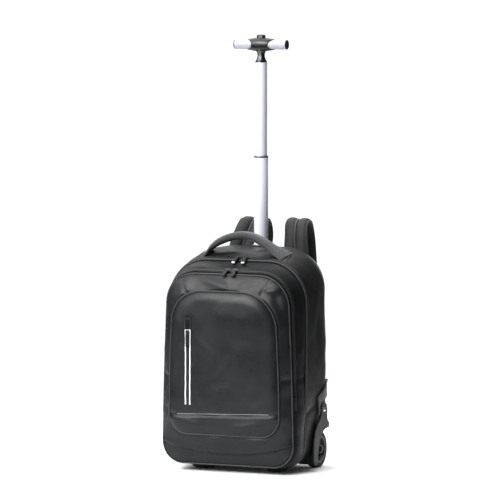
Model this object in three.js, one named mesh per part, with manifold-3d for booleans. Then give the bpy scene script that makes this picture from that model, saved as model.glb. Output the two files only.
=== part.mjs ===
// Wheeled backpack with a single telescopic pole and a T-shaped grip, standing on two feet and two wheels.
// Millimetres, +Z up. The bag's front faces -Y. While the pieces are made, x = y = 0 is the pole's axis and
// z = 0 the floor. The last lines move the whole bag so that its origin is the bottom centre of its box.
import * as THREE from "three";
import { mergeVertices } from "three/addons/utils/BufferGeometryUtils.js";
import Module from "manifold-3d";

const wasm = await Module();
wasm.setup();

// Driving dimensions
const GAP = 0.3; // clearance between pieces that touch
const BAG = { width: 328, height: 481, depth: 226, behind: 24 }; // behind: the pole's axis to the back seam
const CLOTH = { wall: 1.6, panelBulge: 9, sideBelly: 2.5 };
const BACK = { thick: 12, rim: 4 };
const PIPING = { radius: 1.7 };
const ZIP = { width: 6, thick: 1.2, sliderLong: 10, sliderWide: 8, sliderThick: 4 };
const PULL = { long: 15, wide: 6, thick: 1.8, spacing: 15, middle: { main: 11, front: 5 } };
const POCKET_ZIP = { x: -82, foot: 149, top: 311, tapeWide: 4, spacing: 10, thick: 1, garageLong: 26,
  pullLong: 25 };
const LOW_POCKET = { seam: 130, tilt: 0.033, trimWide: 3, trimThick: 1, trimHalf: 108 };
const BASE_SEAM = { middle: 42, rise: 23 };
const HANDLE = { x: 7, ahead: 96, halfSpan: 93, rise: 38, wide: 32, thick: 15 };
const STRAP = { wide: 58, thick: 14, standOff: 53, splay: 14, sway: { left: 19, right: 0 }, webWide: 25,
  webThick: 1.8 };
const TAB = { wide: 26, thick: 2, lift: 1.3, lead: 12, overHousing: 5 };
const BUCKLE = { wide: 33, long: 20, thick: 4, bar: 4 };
const POLE = { topRadius: 13.25, middleRadius: 15.5, outerRadius: 17.6, wall: 1.6, overlap: 64, joint: 676,
  floor: 3, ringTall: 3, grip: 924 };
const GRIP = { barRadius: 10.5, halfLong: 65.5, capLong: 2, hubHalf: 31, hubTall: 31, hubDeep: 30,
  hubSwell: 46 };
const NECK = { drop: 39, tall: 27, footRadius: 13, waistRadius: 8, headRadius: 12 };
const BUTTON = { wide: 19, deep: 11, proud: 6, pocket: 9, travel: 3 };
const WHEEL = { radius: 40, wide: 22, inset: 26, y: -18, hubRadius: 30, axleRadius: 4, boreRun: 0.5,
  bossOver: 1 };
const WELL = { beside: 6, room: 16, rearReach: 60 };
const HOUSING = { wall: 3, plate: 3.4, lip: 2.5, foot: 12, bossRadius: 11, tongueTop: 142, tongueHalf: 9.5,
  tongueShift: 5 };
const RIVET = { radius: 4.6, thick: 2, drop: 17 };
const FOOT = { inset: 77, behindSeam: 2, halfWide: 28, long: 28, flat: 7 };
const COLLAR = { radius: 23, thick: 3 };
const ROUND = 20; // facets round a turned piece

// Steps along half an outline: floor side, foot corner, side, shoulder and crown
const STEPS = { floor: 2, corner: 4, side: 4, shoulder: 5, crown: 2 };

const table = (columns, rows) =>
  rows.map((row) => Object.fromEntries(columns.map((name, i) => [name, row[i]])));

// Sections of the bag seen from the front. y is a share of the depth behind the front pocket's seam, half
// widths and corner radii are shares of the width, foot and top are shares of the height.
const COLUMNS = ["y", "footHalf", "topHalf", "foot", "top", "footRound", "rightRound", "leftRound"];
const POCKET_SEAM = [0, 0.395, 0.377, 0.177, 0.823, 0.128, 0.256, 0.207];
const FRONT_SEAM = [0.08, 0.47, 0.442, 0.037, 0.897, 0.143, 0.216, 0.207];
const MAIN_SEAM = [0.305, 0.485, 0.498, 0.029, 0.953, 0.137, 0.276, 0.286];
const SURROUND = table(COLUMNS, [
  FRONT_SEAM,
  [0.044, 0.439, 0.419, 0.095, 0.873, 0.137, 0.23, 0.207],
  POCKET_SEAM,
]);
const FRONT_GUSSET = table(COLUMNS, [
  MAIN_SEAM,
  [0.23, 0.491, 0.49, 0.029, 0.939, 0.14, 0.262, 0.27],
  [0.155, 0.487, 0.469, 0.031, 0.921, 0.142, 0.242, 0.242],
  FRONT_SEAM,
]);
const MAIN_GUSSET = table(COLUMNS, [
  MAIN_SEAM,
  [0.398, 0.484, 0.502, 0.029, 0.973, 0.134, 0.282, 0.29],
  [0.575, 0.483, 0.502, 0.029, 0.993, 0.128, 0.29, 0.29],
  [0.761, 0.482, 0.494, 0.029, 1, 0.128, 0.29, 0.29],
  [0.876, 0.472, 0.473, 0.036, 1, 0.128, 0.288, 0.288],
  [0.938, 0.456, 0.454, 0.056, 0.996, 0.131, 0.28, 0.28],
  [0.978, 0.43, 0.428, 0.081, 0.984, 0.134, 0.268, 0.268],
  [1, 0.4, 0.398, 0.112, 0.963, 0.137, 0.25, 0.25],
]);
// The strip between two sections of a gusset that each zip lies on, and how far across it
const ZIP_STRIP = { main: { strip: 0, share: 0.4 }, front: { strip: 2, share: 0.12 } };

// The front panel's rise from its seam to its middle: size as a share of the outline, bulge as a share
const PANEL = table(["size", "bulge"], [[1, 0], [0.95, 0.32], [0.8, 0.72], [0.5, 0.95], [0.2, 1]]);
const BACK_PAD = table(["size", "bulge"], [[1, 0], [0.975, 0.75], [0.9, 1], [0.5, 1]]);

const seamY = (section) => (section.y - 1) * BAG.depth + BAG.behind;
const backFace = BAG.behind;

// The closed outline of one section: from the middle of the foot round the right side to the crown and back
function outline(section) {
  const foot = section.foot * BAG.height;
  const top = section.top * BAG.height;
  const footHalf = section.footHalf * BAG.width;
  const topHalf = section.topHalf * BAG.width;
  const corner = section.footRound * BAG.width;
  const half = (round, side) => {
    const shoulder = round * BAG.width;
    const points = [];
    const put = (x, z) => points.push(new THREE.Vector3(side * x, seamY(section), z));
    for (let i = 0; i < STEPS.floor; i++) put((footHalf - corner) * (i / STEPS.floor), foot);
    for (let i = 0; i < STEPS.corner; i++) {
      const turn = (i / STEPS.corner) * (Math.PI / 2);
      put(footHalf - corner + corner * Math.sin(turn), foot + corner - corner * Math.cos(turn));
    }
    for (let i = 0; i < STEPS.side; i++) {
      const up = i / STEPS.side;
      const belly = CLOTH.sideBelly * Math.sin(Math.PI * up);
      const low = foot + corner;
      put(footHalf + (topHalf - footHalf) * up + belly, low + (top - shoulder - low) * up);
    }
    for (let i = 0; i < STEPS.shoulder; i++) {
      const turn = (i / STEPS.shoulder) * (Math.PI / 2);
      put(topHalf - shoulder + shoulder * Math.cos(turn), top - shoulder + shoulder * Math.sin(turn));
    }
    for (let i = 0; i < STEPS.crown; i++) put((topHalf - shoulder) * (1 - i / STEPS.crown), top);
    put(0, top);
    return points;
  };
  const right = half(section.rightRound, 1);
  const left = half(section.leftRound, -1);
  return [...right, ...left.slice(1, -1).reverse()];
}

// A closed solid over rows of points that each close round: the last row joins the first, or both are capped
function skin(rows, joined) {
  const count = rows[0].length;
  const points = rows.flat();
  const faces = [];
  const last = joined ? rows.length : rows.length - 1;
  for (let r = 0; r < last; r++) {
    const next = (r + 1) % rows.length;
    for (let i = 0; i < count; i++) {
      const j = (i + 1) % count;
      faces.push(r * count + i, r * count + j, next * count + j);
      faces.push(r * count + i, next * count + j, next * count + i);
    }
  }
  if (!joined) {
    for (const [row, flip] of [[0, true], [rows.length - 1, false]]) {
      const middle = rows[row].reduce((sum, p) => sum.add(p), new THREE.Vector3()).divideScalar(count);
      points.push(middle);
      for (let i = 0; i < count; i++) {
        const [a, b] = [row * count + i, row * count + ((i + 1) % count)];
        faces.push(...(flip ? [points.length - 1, b, a] : [points.length - 1, a, b]));
      }
    }
  }
  const volume = faces.reduce((sum, _, k) => {
    if (k % 3) return sum;
    const [a, b, c] = [points[faces[k]], points[faces[k + 1]], points[faces[k + 2]]];
    return sum + a.dot(b.clone().cross(c));
  }, 0);
  if (volume < 0) faces.reverse();
  const geometry = new THREE.BufferGeometry().setFromPoints(points);
  geometry.setIndex(faces);
  return geometry;
}

// Unit normals of a sheet given as rows of closed outlines, pointing to the side that `outward` says
function normals(rows, outward) {
  return rows.map((row, r) =>
    row.map((_, i) => {
      const count = row.length;
      const along = row[(i + 1) % count].clone().sub(row[(i + count - 1) % count]);
      const across = rows[Math.min(r + 1, rows.length - 1)][i].clone().sub(rows[Math.max(r - 1, 0)][i]);
      const normal = along.cross(across).normalize();
      return normal.dot(outward(row[i])) < 0 ? normal.negate() : normal;
    }),
  );
}

const bagMiddle = new THREE.Vector3(0, seamY(MAIN_GUSSET[2]), BAG.height / 2);
const fromMiddle = (p) => p.clone().sub(bagMiddle);

// A ring of sewn cloth through several sections, with its wall to the inside
function clothRing(sections) {
  const outer = sections.map(outline);
  const turned = normals(outer, fromMiddle);
  const inner = outer.map((row, r) => row.map((p, i) => p.clone().addScaledVector(turned[r][i], -CLOTH.wall)));
  return skin([...outer, ...inner.reverse()], true);
}

// A panel that closes an outline: rings from the rim to the middle that rise by `bulge` towards `side`. The
// hidden face follows that rise by the share `hollow`: 1 is a sheet of even wall, 0 a pad with a flat back.
function panel(section, rings, { wall, bulge = 0, side, offset, hollow = 1, inset = 0 }) {
  const rim = outline(section);
  const middle = panelMiddle(section);
  const shrink = 1 - inset / (section.topHalf * BAG.width);
  const face = (rise, back) =>
    (rise ? rings : rings.slice(0, 1)).map((ring) =>
      rim.map((p) => {
        const q = p.clone().sub(middle).multiplyScalar(ring.size * shrink).add(middle);
        return q.setY(p.y + side * (offset - back + rise * ring.bulge));
      }),
    );
  return skin([...face(bulge, 0).reverse(), ...face(bulge * hollow, wall)], false);
}
const panelMiddle = (section) =>
  new THREE.Vector3(0, 0, ((section.foot + section.top) / 2) * BAG.height);

// How far the front panel has risen at (x, z), as a share of its bulge
function panelRise(section, rings, x, z) {
  const middle = panelMiddle(section);
  const rim = outline(section).map((p) => [p.x, p.z - middle.z]);
  const up = z - middle.z;
  const sizes = rim.map(([ax, az], i) => {
    const [bx, bz] = rim[(i + 1) % rim.length];
    const area = ax * bz - az * bx;
    const [first, second] = [(x * bz - up * bx) / area, (ax * up - az * x) / area];
    return first >= 0 && second >= 0 ? first + second : 0;
  });
  const size = Math.max(...sizes);
  const inner = rings.findIndex((ring) => ring.size <= size);
  if (inner < 0) return rings.at(-1).bulge;
  const [a, b] = [rings[Math.max(inner - 1, 0)], rings[Math.max(inner, 1)]];
  return a.bulge + ((b.bulge - a.bulge) * (a.size - size)) / (a.size - b.size);
}

// The solid as the boolean library holds it, and back
function toSolid(geometry) {
  const merged = indexed(geometry.index ? geometry.toNonIndexed() : geometry.clone());
  const mesh = new wasm.Mesh({
    numProp: 3,
    vertProperties: merged.attributes.position.array,
    triVerts: new Uint32Array(merged.index.array),
  });
  return new wasm.Manifold(mesh);
}
function toGeometry(solid) {
  const mesh = solid.getMesh();
  const positions = new Float32Array(mesh.numVert * 3);
  for (let i = 0; i < mesh.numVert; i++) {
    const start = i * mesh.numProp;
    positions.set(mesh.vertProperties.subarray(start, start + 3), i * 3);
  }
  const geometry = new THREE.BufferGeometry();
  geometry.setAttribute("position", new THREE.BufferAttribute(positions, 3));
  geometry.setIndex(new THREE.BufferAttribute(new Uint32Array(mesh.triVerts), 1));
  return geometry;
}
const cut = (geometry, ...tools) =>
  toGeometry(tools.reduce((solid, tool) => solid.subtract(toSolid(tool)), toSolid(geometry)));
const join = (...geometries) =>
  toGeometry(geometries.slice(1).reduce((solid, next) => solid.add(toSolid(next)), toSolid(geometries[0])));
const keep = (geometry, tool) => toGeometry(toSolid(geometry).intersect(toSolid(tool)));

// A turned piece about the Z axis, from rows of radius and height that close on themselves
function turned(profile) {
  const points = profile.map(([radius, z]) => new THREE.Vector2(radius, z));
  if (profile[0][0] > 0) points.push(points[0].clone());
  return outwards(indexed(new THREE.LatheGeometry(points, ROUND).rotateX(Math.PI / 2)));
}
function indexed(geometry) {
  geometry.deleteAttribute("normal");
  geometry.deleteAttribute("uv");
  return mergeVertices(geometry, 1e-4);
}
function outwards(geometry) {
  const p = geometry.getAttribute("position");
  const index = geometry.index.array;
  const at = (k) => new THREE.Vector3().fromBufferAttribute(p, index[k]);
  let volume = 0;
  for (let k = 0; k < index.length; k += 3) volume += at(k).dot(at(k + 1).cross(at(k + 2)));
  if (volume < 0) geometry.setIndex([...index].reverse());
  return geometry;
}
const tube = (outer, inner, low, high) => turned([[outer, low], [outer, high], [inner, high], [inner, low]]);
const rod = (radius, low, high) => turned([[0, low], [radius, low], [radius, high], [0, high]]);

// A block between two corners
function block(low, high) {
  const size = high.map((value, i) => value - low[i]);
  const middle = high.map((value, i) => (value + low[i]) / 2);
  return new THREE.BoxGeometry(...size).translate(...middle);
}

// A plate whose outline is drawn in (y, z) and which runs from x = low to x = high
function sidePlate(shape, low, high, steps = 8) {
  const options = { depth: high - low, bevelEnabled: false, curveSegments: steps };
  const geometry = new THREE.ExtrudeGeometry(shape, options);
  const turn = new THREE.Matrix4().set(0, 0, 1, low, 1, 0, 0, 0, 0, 1, 0, 0, 0, 0, 0, 1);
  return geometry.applyMatrix4(turn);
}

// A flat or padded strap: rows of centre, across direction, width and thickness. `round` is how far in from
// each edge the full thickness starts, as a share of half the thickness; 0 leaves the edges square.
function strap(rows, { steps, round }) {
  const centre = new THREE.CatmullRomCurve3(rows.map((row) => row.at), false, "centripetal");
  const sections = [];
  for (let s = 0; s <= steps; s++) {
    const t = s / steps;
    const place = t * (rows.length - 1);
    const k = Math.min(Math.floor(place), rows.length - 2);
    const blend = place - k;
    const along = centre.getTangent(t);
    const across = rows[k].across.clone().lerp(rows[k + 1].across, blend);
    across.addScaledVector(along, -across.dot(along)).normalize();
    const up = along.clone().cross(across);
    const half = THREE.MathUtils.lerp(rows[k].wide, rows[k + 1].wide, blend) / 2;
    const deep = THREE.MathUtils.lerp(rows[k].thick, rows[k + 1].thick, blend) / 2;
    const edge = round * deep;
    const corners = round
      ? [[half, 0], [half - edge, deep], [edge - half, deep], [-half, 0], [edge - half, -deep],
        [half - edge, -deep]]
      : [[half, -deep], [half, deep], [-half, deep], [-half, -deep]];
    const at = centre.getPoint(t);
    sections.push(corners.map(([a, b]) => at.clone().addScaledVector(across, a).addScaledVector(up, b)));
  }
  return skin(sections, false);
}

// A cord of cloth sewn round a seam: a few-sided ring held off the corner by the gap
function pipingRing(section, outShare, frontShare) {
  const seam = outline(section);
  const middle = new THREE.Vector3(0, seamY(section), BAG.height / 2);
  const count = seam.length;
  const sides = 4;
  const hold = PIPING.radius + GAP;
  const rings = Array.from({ length: sides }, (_, s) =>
    seam.map((p, i) => {
      const along = seam[(i + 1) % count].clone().sub(seam[(i + count - 1) % count]).normalize();
      const out = new THREE.Vector3(along.z, 0, -along.x);
      if (out.dot(p.clone().sub(middle)) < 0) out.negate();
      const turn = ((s + 0.5) / sides) * 2 * Math.PI;
      const x = hold * outShare + PIPING.radius * Math.cos(turn);
      const y = -hold * frontShare + PIPING.radius * Math.sin(turn);
      return p.clone().addScaledVector(out, x).setY(p.y + y);
    }),
  );
  return skin(rings, true);
}

// A zip laid on one strip of a cloth ring, from one side over the crown to the other
function zipBand(sections, strip, share) {
  const [front, back] = [outline(sections[strip]), outline(sections[strip + 1])];
  const side = STEPS.floor + STEPS.corner + STEPS.side / 2;
  const centre = front.map((p, i) => p.clone().lerp(back[i], share));
  const rows = [];
  for (let i = side; i <= front.length - side; i++) {
    const across = back[i].clone().sub(front[i]).normalize();
    const along = centre[i + 1].clone().sub(centre[i - 1]).normalize();
    const up = along.clone().cross(across).normalize();
    if (up.dot(fromMiddle(centre[i])) < 0) up.negate();
    const low = GAP * 1.5;
    rows.push([[-1, low], [1, low], [1, low + ZIP.thick], [-1, low + ZIP.thick]].map(([a, b]) =>
      centre[i].clone().addScaledVector(across, (a * ZIP.width) / 2).addScaledVector(up, b)));
  }
  return skin(rows, false);
}

const root = new THREE.Group();
const finish = (color, roughness, metalness = 0) =>
  new THREE.MeshStandardMaterial({ color, roughness, metalness });
const cloth = finish(0x2e2e30, 0.75);
const gussetCloth = finish(0x262628, 0.8);
const black = finish(0x101012, 0.5);
const webbing = finish(0x18181a, 0.85);
const greyPlastic = finish(0x3f4244, 0.45);
const rubber = finish(0x151516, 0.9);
const anodised = finish(0xf2f3f6, 0.3, 0.6);
const reflective = finish(0xe8edee, 0.4);
function add(name, geometry, material, parent = root) {
  const mesh = new THREE.Mesh(geometry, material);
  mesh.name = name;
  parent.add(mesh);
  return mesh;
}
const SIDES = [["left", -1], ["right", 1]];
const mirrored = (geometry, side) => (side > 0 ? geometry : outwards(indexed(geometry.scale(-1, 1, 1))));

// Wheel wells: the space that is cut from the bag's lower back corners
const axle = { x: BAG.width / 2 - WHEEL.inset, y: WHEEL.y, z: WHEEL.radius };
const wellInner = axle.x - WHEEL.wide / 2 - WELL.beside;
const wellRadius = WHEEL.radius + WELL.room;
function wellShape(radius, foot, rear) {
  const shape = new THREE.Shape();
  shape.moveTo(axle.y - radius, foot);
  shape.lineTo(axle.y - radius, axle.z);
  shape.absarc(axle.y, axle.z, radius, Math.PI, Math.PI / 2, true);
  shape.lineTo(rear, axle.z + radius);
  shape.lineTo(rear, foot);
  return shape;
}
const wellRear = backFace + WELL.rearReach;
const wellTools = SIDES.map(([, side]) =>
  mirrored(sidePlate(wellShape(wellRadius, -BAG.depth, wellRear), wellInner, BAG.width), side));

// The bag's cloth
const poleHole = rod(POLE.outerRadius + GAP, BAG.height / 2, BAG.height * 2);
add("main_gusset", cut(clothRing(MAIN_GUSSET), ...wellTools, poleHole), gussetCloth);
const mainSeam = MAIN_GUSSET[0];
const frontSeam = SURROUND[0];
const pocketSeam = SURROUND.at(-1);
const backSeam = MAIN_GUSSET.at(-1);
const wallPlace = { wall: CLOTH.wall, side: -1, offset: -CLOTH.wall, inset: CLOTH.wall + 2 * GAP };
add("main_front_wall", panel(mainSeam, PANEL.slice(0, 1), wallPlace), cloth);
const backPlace = { wall: BACK.rim, bulge: BACK.thick - BACK.rim, side: 1, offset: BACK.rim + GAP, hollow: 0 };
add("back_panel", cut(panel(backSeam, BACK_PAD, backPlace), ...wellTools), cloth);

const shiftFront = (sections, by) => sections.map((section) => ({ ...section, y: section.y - by / BAG.depth }));
const seamStep = CLOTH.wall + GAP;
const frontGusset = shiftFront(FRONT_GUSSET, GAP);
const surround = shiftFront(SURROUND, seamStep + GAP);
add("front_gusset", clothRing(frontGusset), gussetCloth);

// The space in front of the bag below a seam line, as a cutting block
function below(height, side) {
  const shape = new THREE.Shape();
  shape.moveTo(-BAG.width, -BAG.height);
  const steps = 12;
  for (let i = 0; i <= steps; i++) {
    const x = BAG.width * ((2 * i) / steps - 1);
    shape.lineTo(x, height(x) + (side * GAP) / 2);
  }
  shape.lineTo(BAG.width, -BAG.height);
  const depth = 2 * BAG.depth;
  return new THREE.ExtrudeGeometry(shape, { depth, bevelEnabled: false }).rotateX(Math.PI / 2);
}
const baseSeam = (x) => BASE_SEAM.middle + BASE_SEAM.rise * (x / (frontSeam.footHalf * BAG.width)) ** 2;
add("front_surround", cut(clothRing(surround), below(baseSeam, 1)), cloth);
add("front_base_panel", keep(clothRing(surround), below(baseSeam, -1)), cloth);

const pocketRim = { ...pocketSeam, y: pocketSeam.y - (seamStep + 2 * GAP) / BAG.depth };
const pocketPlace = { wall: CLOTH.wall, bulge: CLOTH.panelBulge, side: -1, offset: CLOTH.wall };
const lowSeam = (x) => LOW_POCKET.seam + LOW_POCKET.tilt * x;
const pocketPanel = panel(pocketRim, PANEL, pocketPlace);
add("front_panel", cut(pocketPanel, below(lowSeam, 1)), cloth);
add("low_pocket_panel", keep(pocketPanel, below(lowSeam, -1)), cloth);
const panelY = (x, z) =>
  seamY(pocketRim) - CLOTH.wall - CLOTH.panelBulge * panelRise(pocketRim, PANEL, x, z);

// Piping in each seam
add("piping_pocket", pipingRing({ ...pocketRim, y: pocketRim.y - CLOTH.wall / BAG.depth }, 0.5, 0.9), black);
add("piping_front", pipingRing({ ...frontSeam, y: surround[0].y }, 1, 0.5), black);
add("piping_main", pipingRing(mainSeam, 1.15, 0.15), black);
add("piping_back", pipingRing(backSeam, 1, -0.7), black);

// Zips that run over the crown, and the sliders and pulls that meet near the middle
add("zip_main", zipBand(MAIN_GUSSET, ZIP_STRIP.main.strip, ZIP_STRIP.main.share), black);
add("zip_front", zipBand(frontGusset, ZIP_STRIP.front.strip, ZIP_STRIP.front.share), black);
function crownFrame(sections, { strip, share }) {
  const at = (section) => new THREE.Vector3(0, seamY(section), section.top * BAG.height);
  const [first, next] = [at(sections[strip]), at(sections[strip + 1])];
  const across = next.clone().sub(first).normalize();
  if (across.y < 0) across.negate();
  return { centre: first.lerp(next, share), across, up: new THREE.Vector3(0, -across.z, across.y) };
}
const lay = (geometry, { across, up }, place) => {
  const turn = new THREE.Matrix4().makeBasis(new THREE.Vector3(1, 0, 0), across, up);
  return geometry.applyMatrix4(turn.setPosition(place));
};
function sliderAndPull(name, frame, x) {
  const low = GAP * 2.5 + ZIP.thick;
  const slider = block([-ZIP.sliderWide / 2, -ZIP.sliderLong / 2, low],
    [ZIP.sliderWide / 2, ZIP.sliderLong / 2, low + ZIP.sliderThick]);
  add("zip_slider_" + name, lay(slider, frame, frame.centre.clone().setX(x)), black);
  const start = -ZIP.sliderLong / 2 - GAP;
  const rise = PIPING.radius * 2 + GAP * 6;
  const tab = block([-PULL.wide / 2, start - PULL.long, rise], [PULL.wide / 2, start, rise + PULL.thick]);
  add("zip_pull_" + name, lay(tab, frame, frame.centre.clone().setX(x)), black);
}
for (const [zip, sections] of [["main", MAIN_GUSSET], ["front", frontGusset]]) {
  const frame = crownFrame(sections, ZIP_STRIP[zip]);
  for (const [name, side] of SIDES) {
    sliderAndPull(zip + "_" + name, frame, PULL.middle[zip] + (side * PULL.spacing) / 2);
  }
}

// A strip laid down the front panel from z = high to z = low
function panelStrip(x, low, high, wide, thick, lift) {
  const count = 7;
  const rows = Array.from({ length: count }, (_, i) => {
    const z = THREE.MathUtils.lerp(low, high, i / (count - 1));
    const y = panelY(x, z) - lift - thick / 2;
    return { at: new THREE.Vector3(x, y, z), across: new THREE.Vector3(1, 0, 0), wide, thick };
  });
  return strap(rows, { steps: 6, round: 0 });
}
const zipLift = 2 * GAP;
const { x: zipX, foot: zipFoot, top: zipTop, tapeWide, spacing } = POCKET_ZIP;
const coilWide = spacing - tapeWide - 2 * GAP;
add("zip_pocket", panelStrip(zipX, zipFoot, zipTop, coilWide, POCKET_ZIP.thick, zipLift), black);
for (const [name, side] of SIDES) {
  const x = zipX + (side * spacing) / 2;
  const tape = panelStrip(x, zipFoot, zipTop, tapeWide, POCKET_ZIP.thick, zipLift);
  add("reflective_tape_" + name, tape, reflective);
}
const garageFoot = zipTop + GAP;
const garageWide = spacing + tapeWide;
const garageTop = zipTop + POCKET_ZIP.garageLong;
const garage = panelStrip(zipX, garageFoot, garageTop, garageWide, POCKET_ZIP.thick, zipLift);
add("zip_garage", garage, black);
const sliderLift = zipLift + POCKET_ZIP.thick + GAP;
const sliderFoot = zipTop - ZIP.sliderLong;
const pocketSlider = panelStrip(zipX, sliderFoot, zipTop, ZIP.sliderWide, ZIP.sliderThick, sliderLift);
add("pocket_slider", pocketSlider, black);
const pocketPull = panelStrip(zipX, sliderFoot - GAP - POCKET_ZIP.pullLong, sliderFoot - GAP, PULL.wide,
  PULL.thick, sliderLift);
add("pocket_pull", pocketPull, black);
const trimRows = Array.from({ length: 9 }, (_, i) => {
  const x = LOW_POCKET.trimHalf * (i / 4 - 1);
  const z = lowSeam(x) + LOW_POCKET.trimWide;
  const y = panelY(x, z) - zipLift - GAP - LOW_POCKET.trimThick / 2;
  const across = new THREE.Vector3(0, 0, 1);
  return { at: new THREE.Vector3(x, y, z), across, wide: LOW_POCKET.trimWide, thick: LOW_POCKET.trimThick };
});
add("low_pocket_trim", strap(trimRows, { steps: 8, round: 0 }), black);

// The section of the main gusset at y, and the bag's crown and side there
function sectionAt(y) {
  const k = Math.max(1, MAIN_GUSSET.findIndex((section) => seamY(section) >= y));
  const [a, b] = [MAIN_GUSSET[k - 1], MAIN_GUSSET[k]];
  const blend = (y - seamY(a)) / (seamY(b) - seamY(a));
  return Object.fromEntries(COLUMNS.map((name) => [name, THREE.MathUtils.lerp(a[name], b[name], blend)]));
}
function crownAt(x, y) {
  const section = sectionAt(y);
  const round = section.leftRound * BAG.width;
  const past = Math.max(0, Math.abs(x) - (section.topHalf * BAG.width - round));
  return section.top * BAG.height - round + Math.sqrt(round ** 2 - past ** 2);
}
function sideAt(y, z) {
  const section = sectionAt(y);
  const low = section.foot * BAG.height + section.footRound * BAG.width;
  const high = section.top * BAG.height - section.leftRound * BAG.width;
  const up = THREE.MathUtils.clamp((z - low) / (high - low), 0, 1);
  const half = THREE.MathUtils.lerp(section.footHalf, section.topHalf, up) * BAG.width;
  return half + CLOTH.sideBelly * Math.sin(Math.PI * up);
}

// Carry handle: a padded band whose flat ends widen and are sewn to the crown, leaning with its slope
const HANDLE_PATH = table(["x", "rise", "wide", "thick", "lean"], [
  [-1, 0, 1.4, 0.2, 1],
  [-0.95, 0.25, 1.35, 0.4, 1],
  [-0.86, 0.48, 1.15, 0.8, 0.7],
  [-0.64, 0.75, 1, 1, 0.3],
  [-0.37, 0.93, 1, 1, 0],
  [-0.12, 1, 1, 1, 0],
  [0.14, 0.95, 1, 1, 0],
  [0.42, 0.72, 1, 1, 0.3],
  [0.66, 0.42, 1.15, 0.8, 0.7],
  [0.87, 0.16, 1.3, 0.4, 1],
  [1, 0, 1.4, 0.2, 1],
]);
const handleEnds = SIDES.map(([, side]) => crownAt(HANDLE.x + side * HANDLE.halfSpan, -HANDLE.ahead));
const handleFoot = Math.max(...handleEnds) + 8 * GAP + (HANDLE.thick * HANDLE_PATH[0].thick) / 2;
const crownSlope = (crownAt(0, HANDLE.wide / 2 - HANDLE.ahead) - crownAt(0, -HANDLE.wide / 2 - HANDLE.ahead))
  / HANDLE.wide;
const handleRows = HANDLE_PATH.map((row) => ({
  at: new THREE.Vector3(HANDLE.x + row.x * HANDLE.halfSpan, -HANDLE.ahead, handleFoot + row.rise * HANDLE.rise),
  across: new THREE.Vector3(0, 1, crownSlope * row.lean),
  wide: row.wide * HANDLE.wide,
  thick: row.thick * HANDLE.thick,
}));
add("carry_handle", strap(handleRows, { steps: 22, round: 0.7 }), webbing);

// Shoulder straps: each is sewn to the top of the back panel, arches over and hangs down behind
const padFace = backFace + GAP + BACK.thick;
const strapY = padFace + 2 * GAP + STRAP.thick / 2;
const STRAP_PATH = table(["x", "behind", "z", "wide", "splay", "sway"], [
  [0.2, 0, 0.9, 1, 0, -0.35],
  [0.2, 0.01, 0.97, 1, 0.4, -0.3],
  [0.196, 0.06, 1.045, 1, 1, 0.5],
  [0.19, 0.24, 1.093, 1, 1, 0.95],
  [0.19, 0.52, 1.107, 1, 1, 1],
  [0.19, 0.8, 1.085, 1, 1, 1],
  [0.192, 0.97, 1.035, 1, 1, 1],
  [0.197, 1, 0.96, 1, 0.8, 0.8],
  [0.21, 0.97, 0.8, 1, 0.4, 0.4],
  [0.235, 0.88, 0.63, 0.95, 0, 0],
  [0.262, 0.74, 0.51, 0.85, 0, 0],
  [0.283, 0.62, 0.44, 0.65, 0, 0],
]);
const WEB_PATH = table(["toTab", "behind", "z"], [
  [0.13, 0.5, 0.384],
  [0.38, 0.36, 0.366],
  [0.67, 0.1, 0.363],
]);
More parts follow.
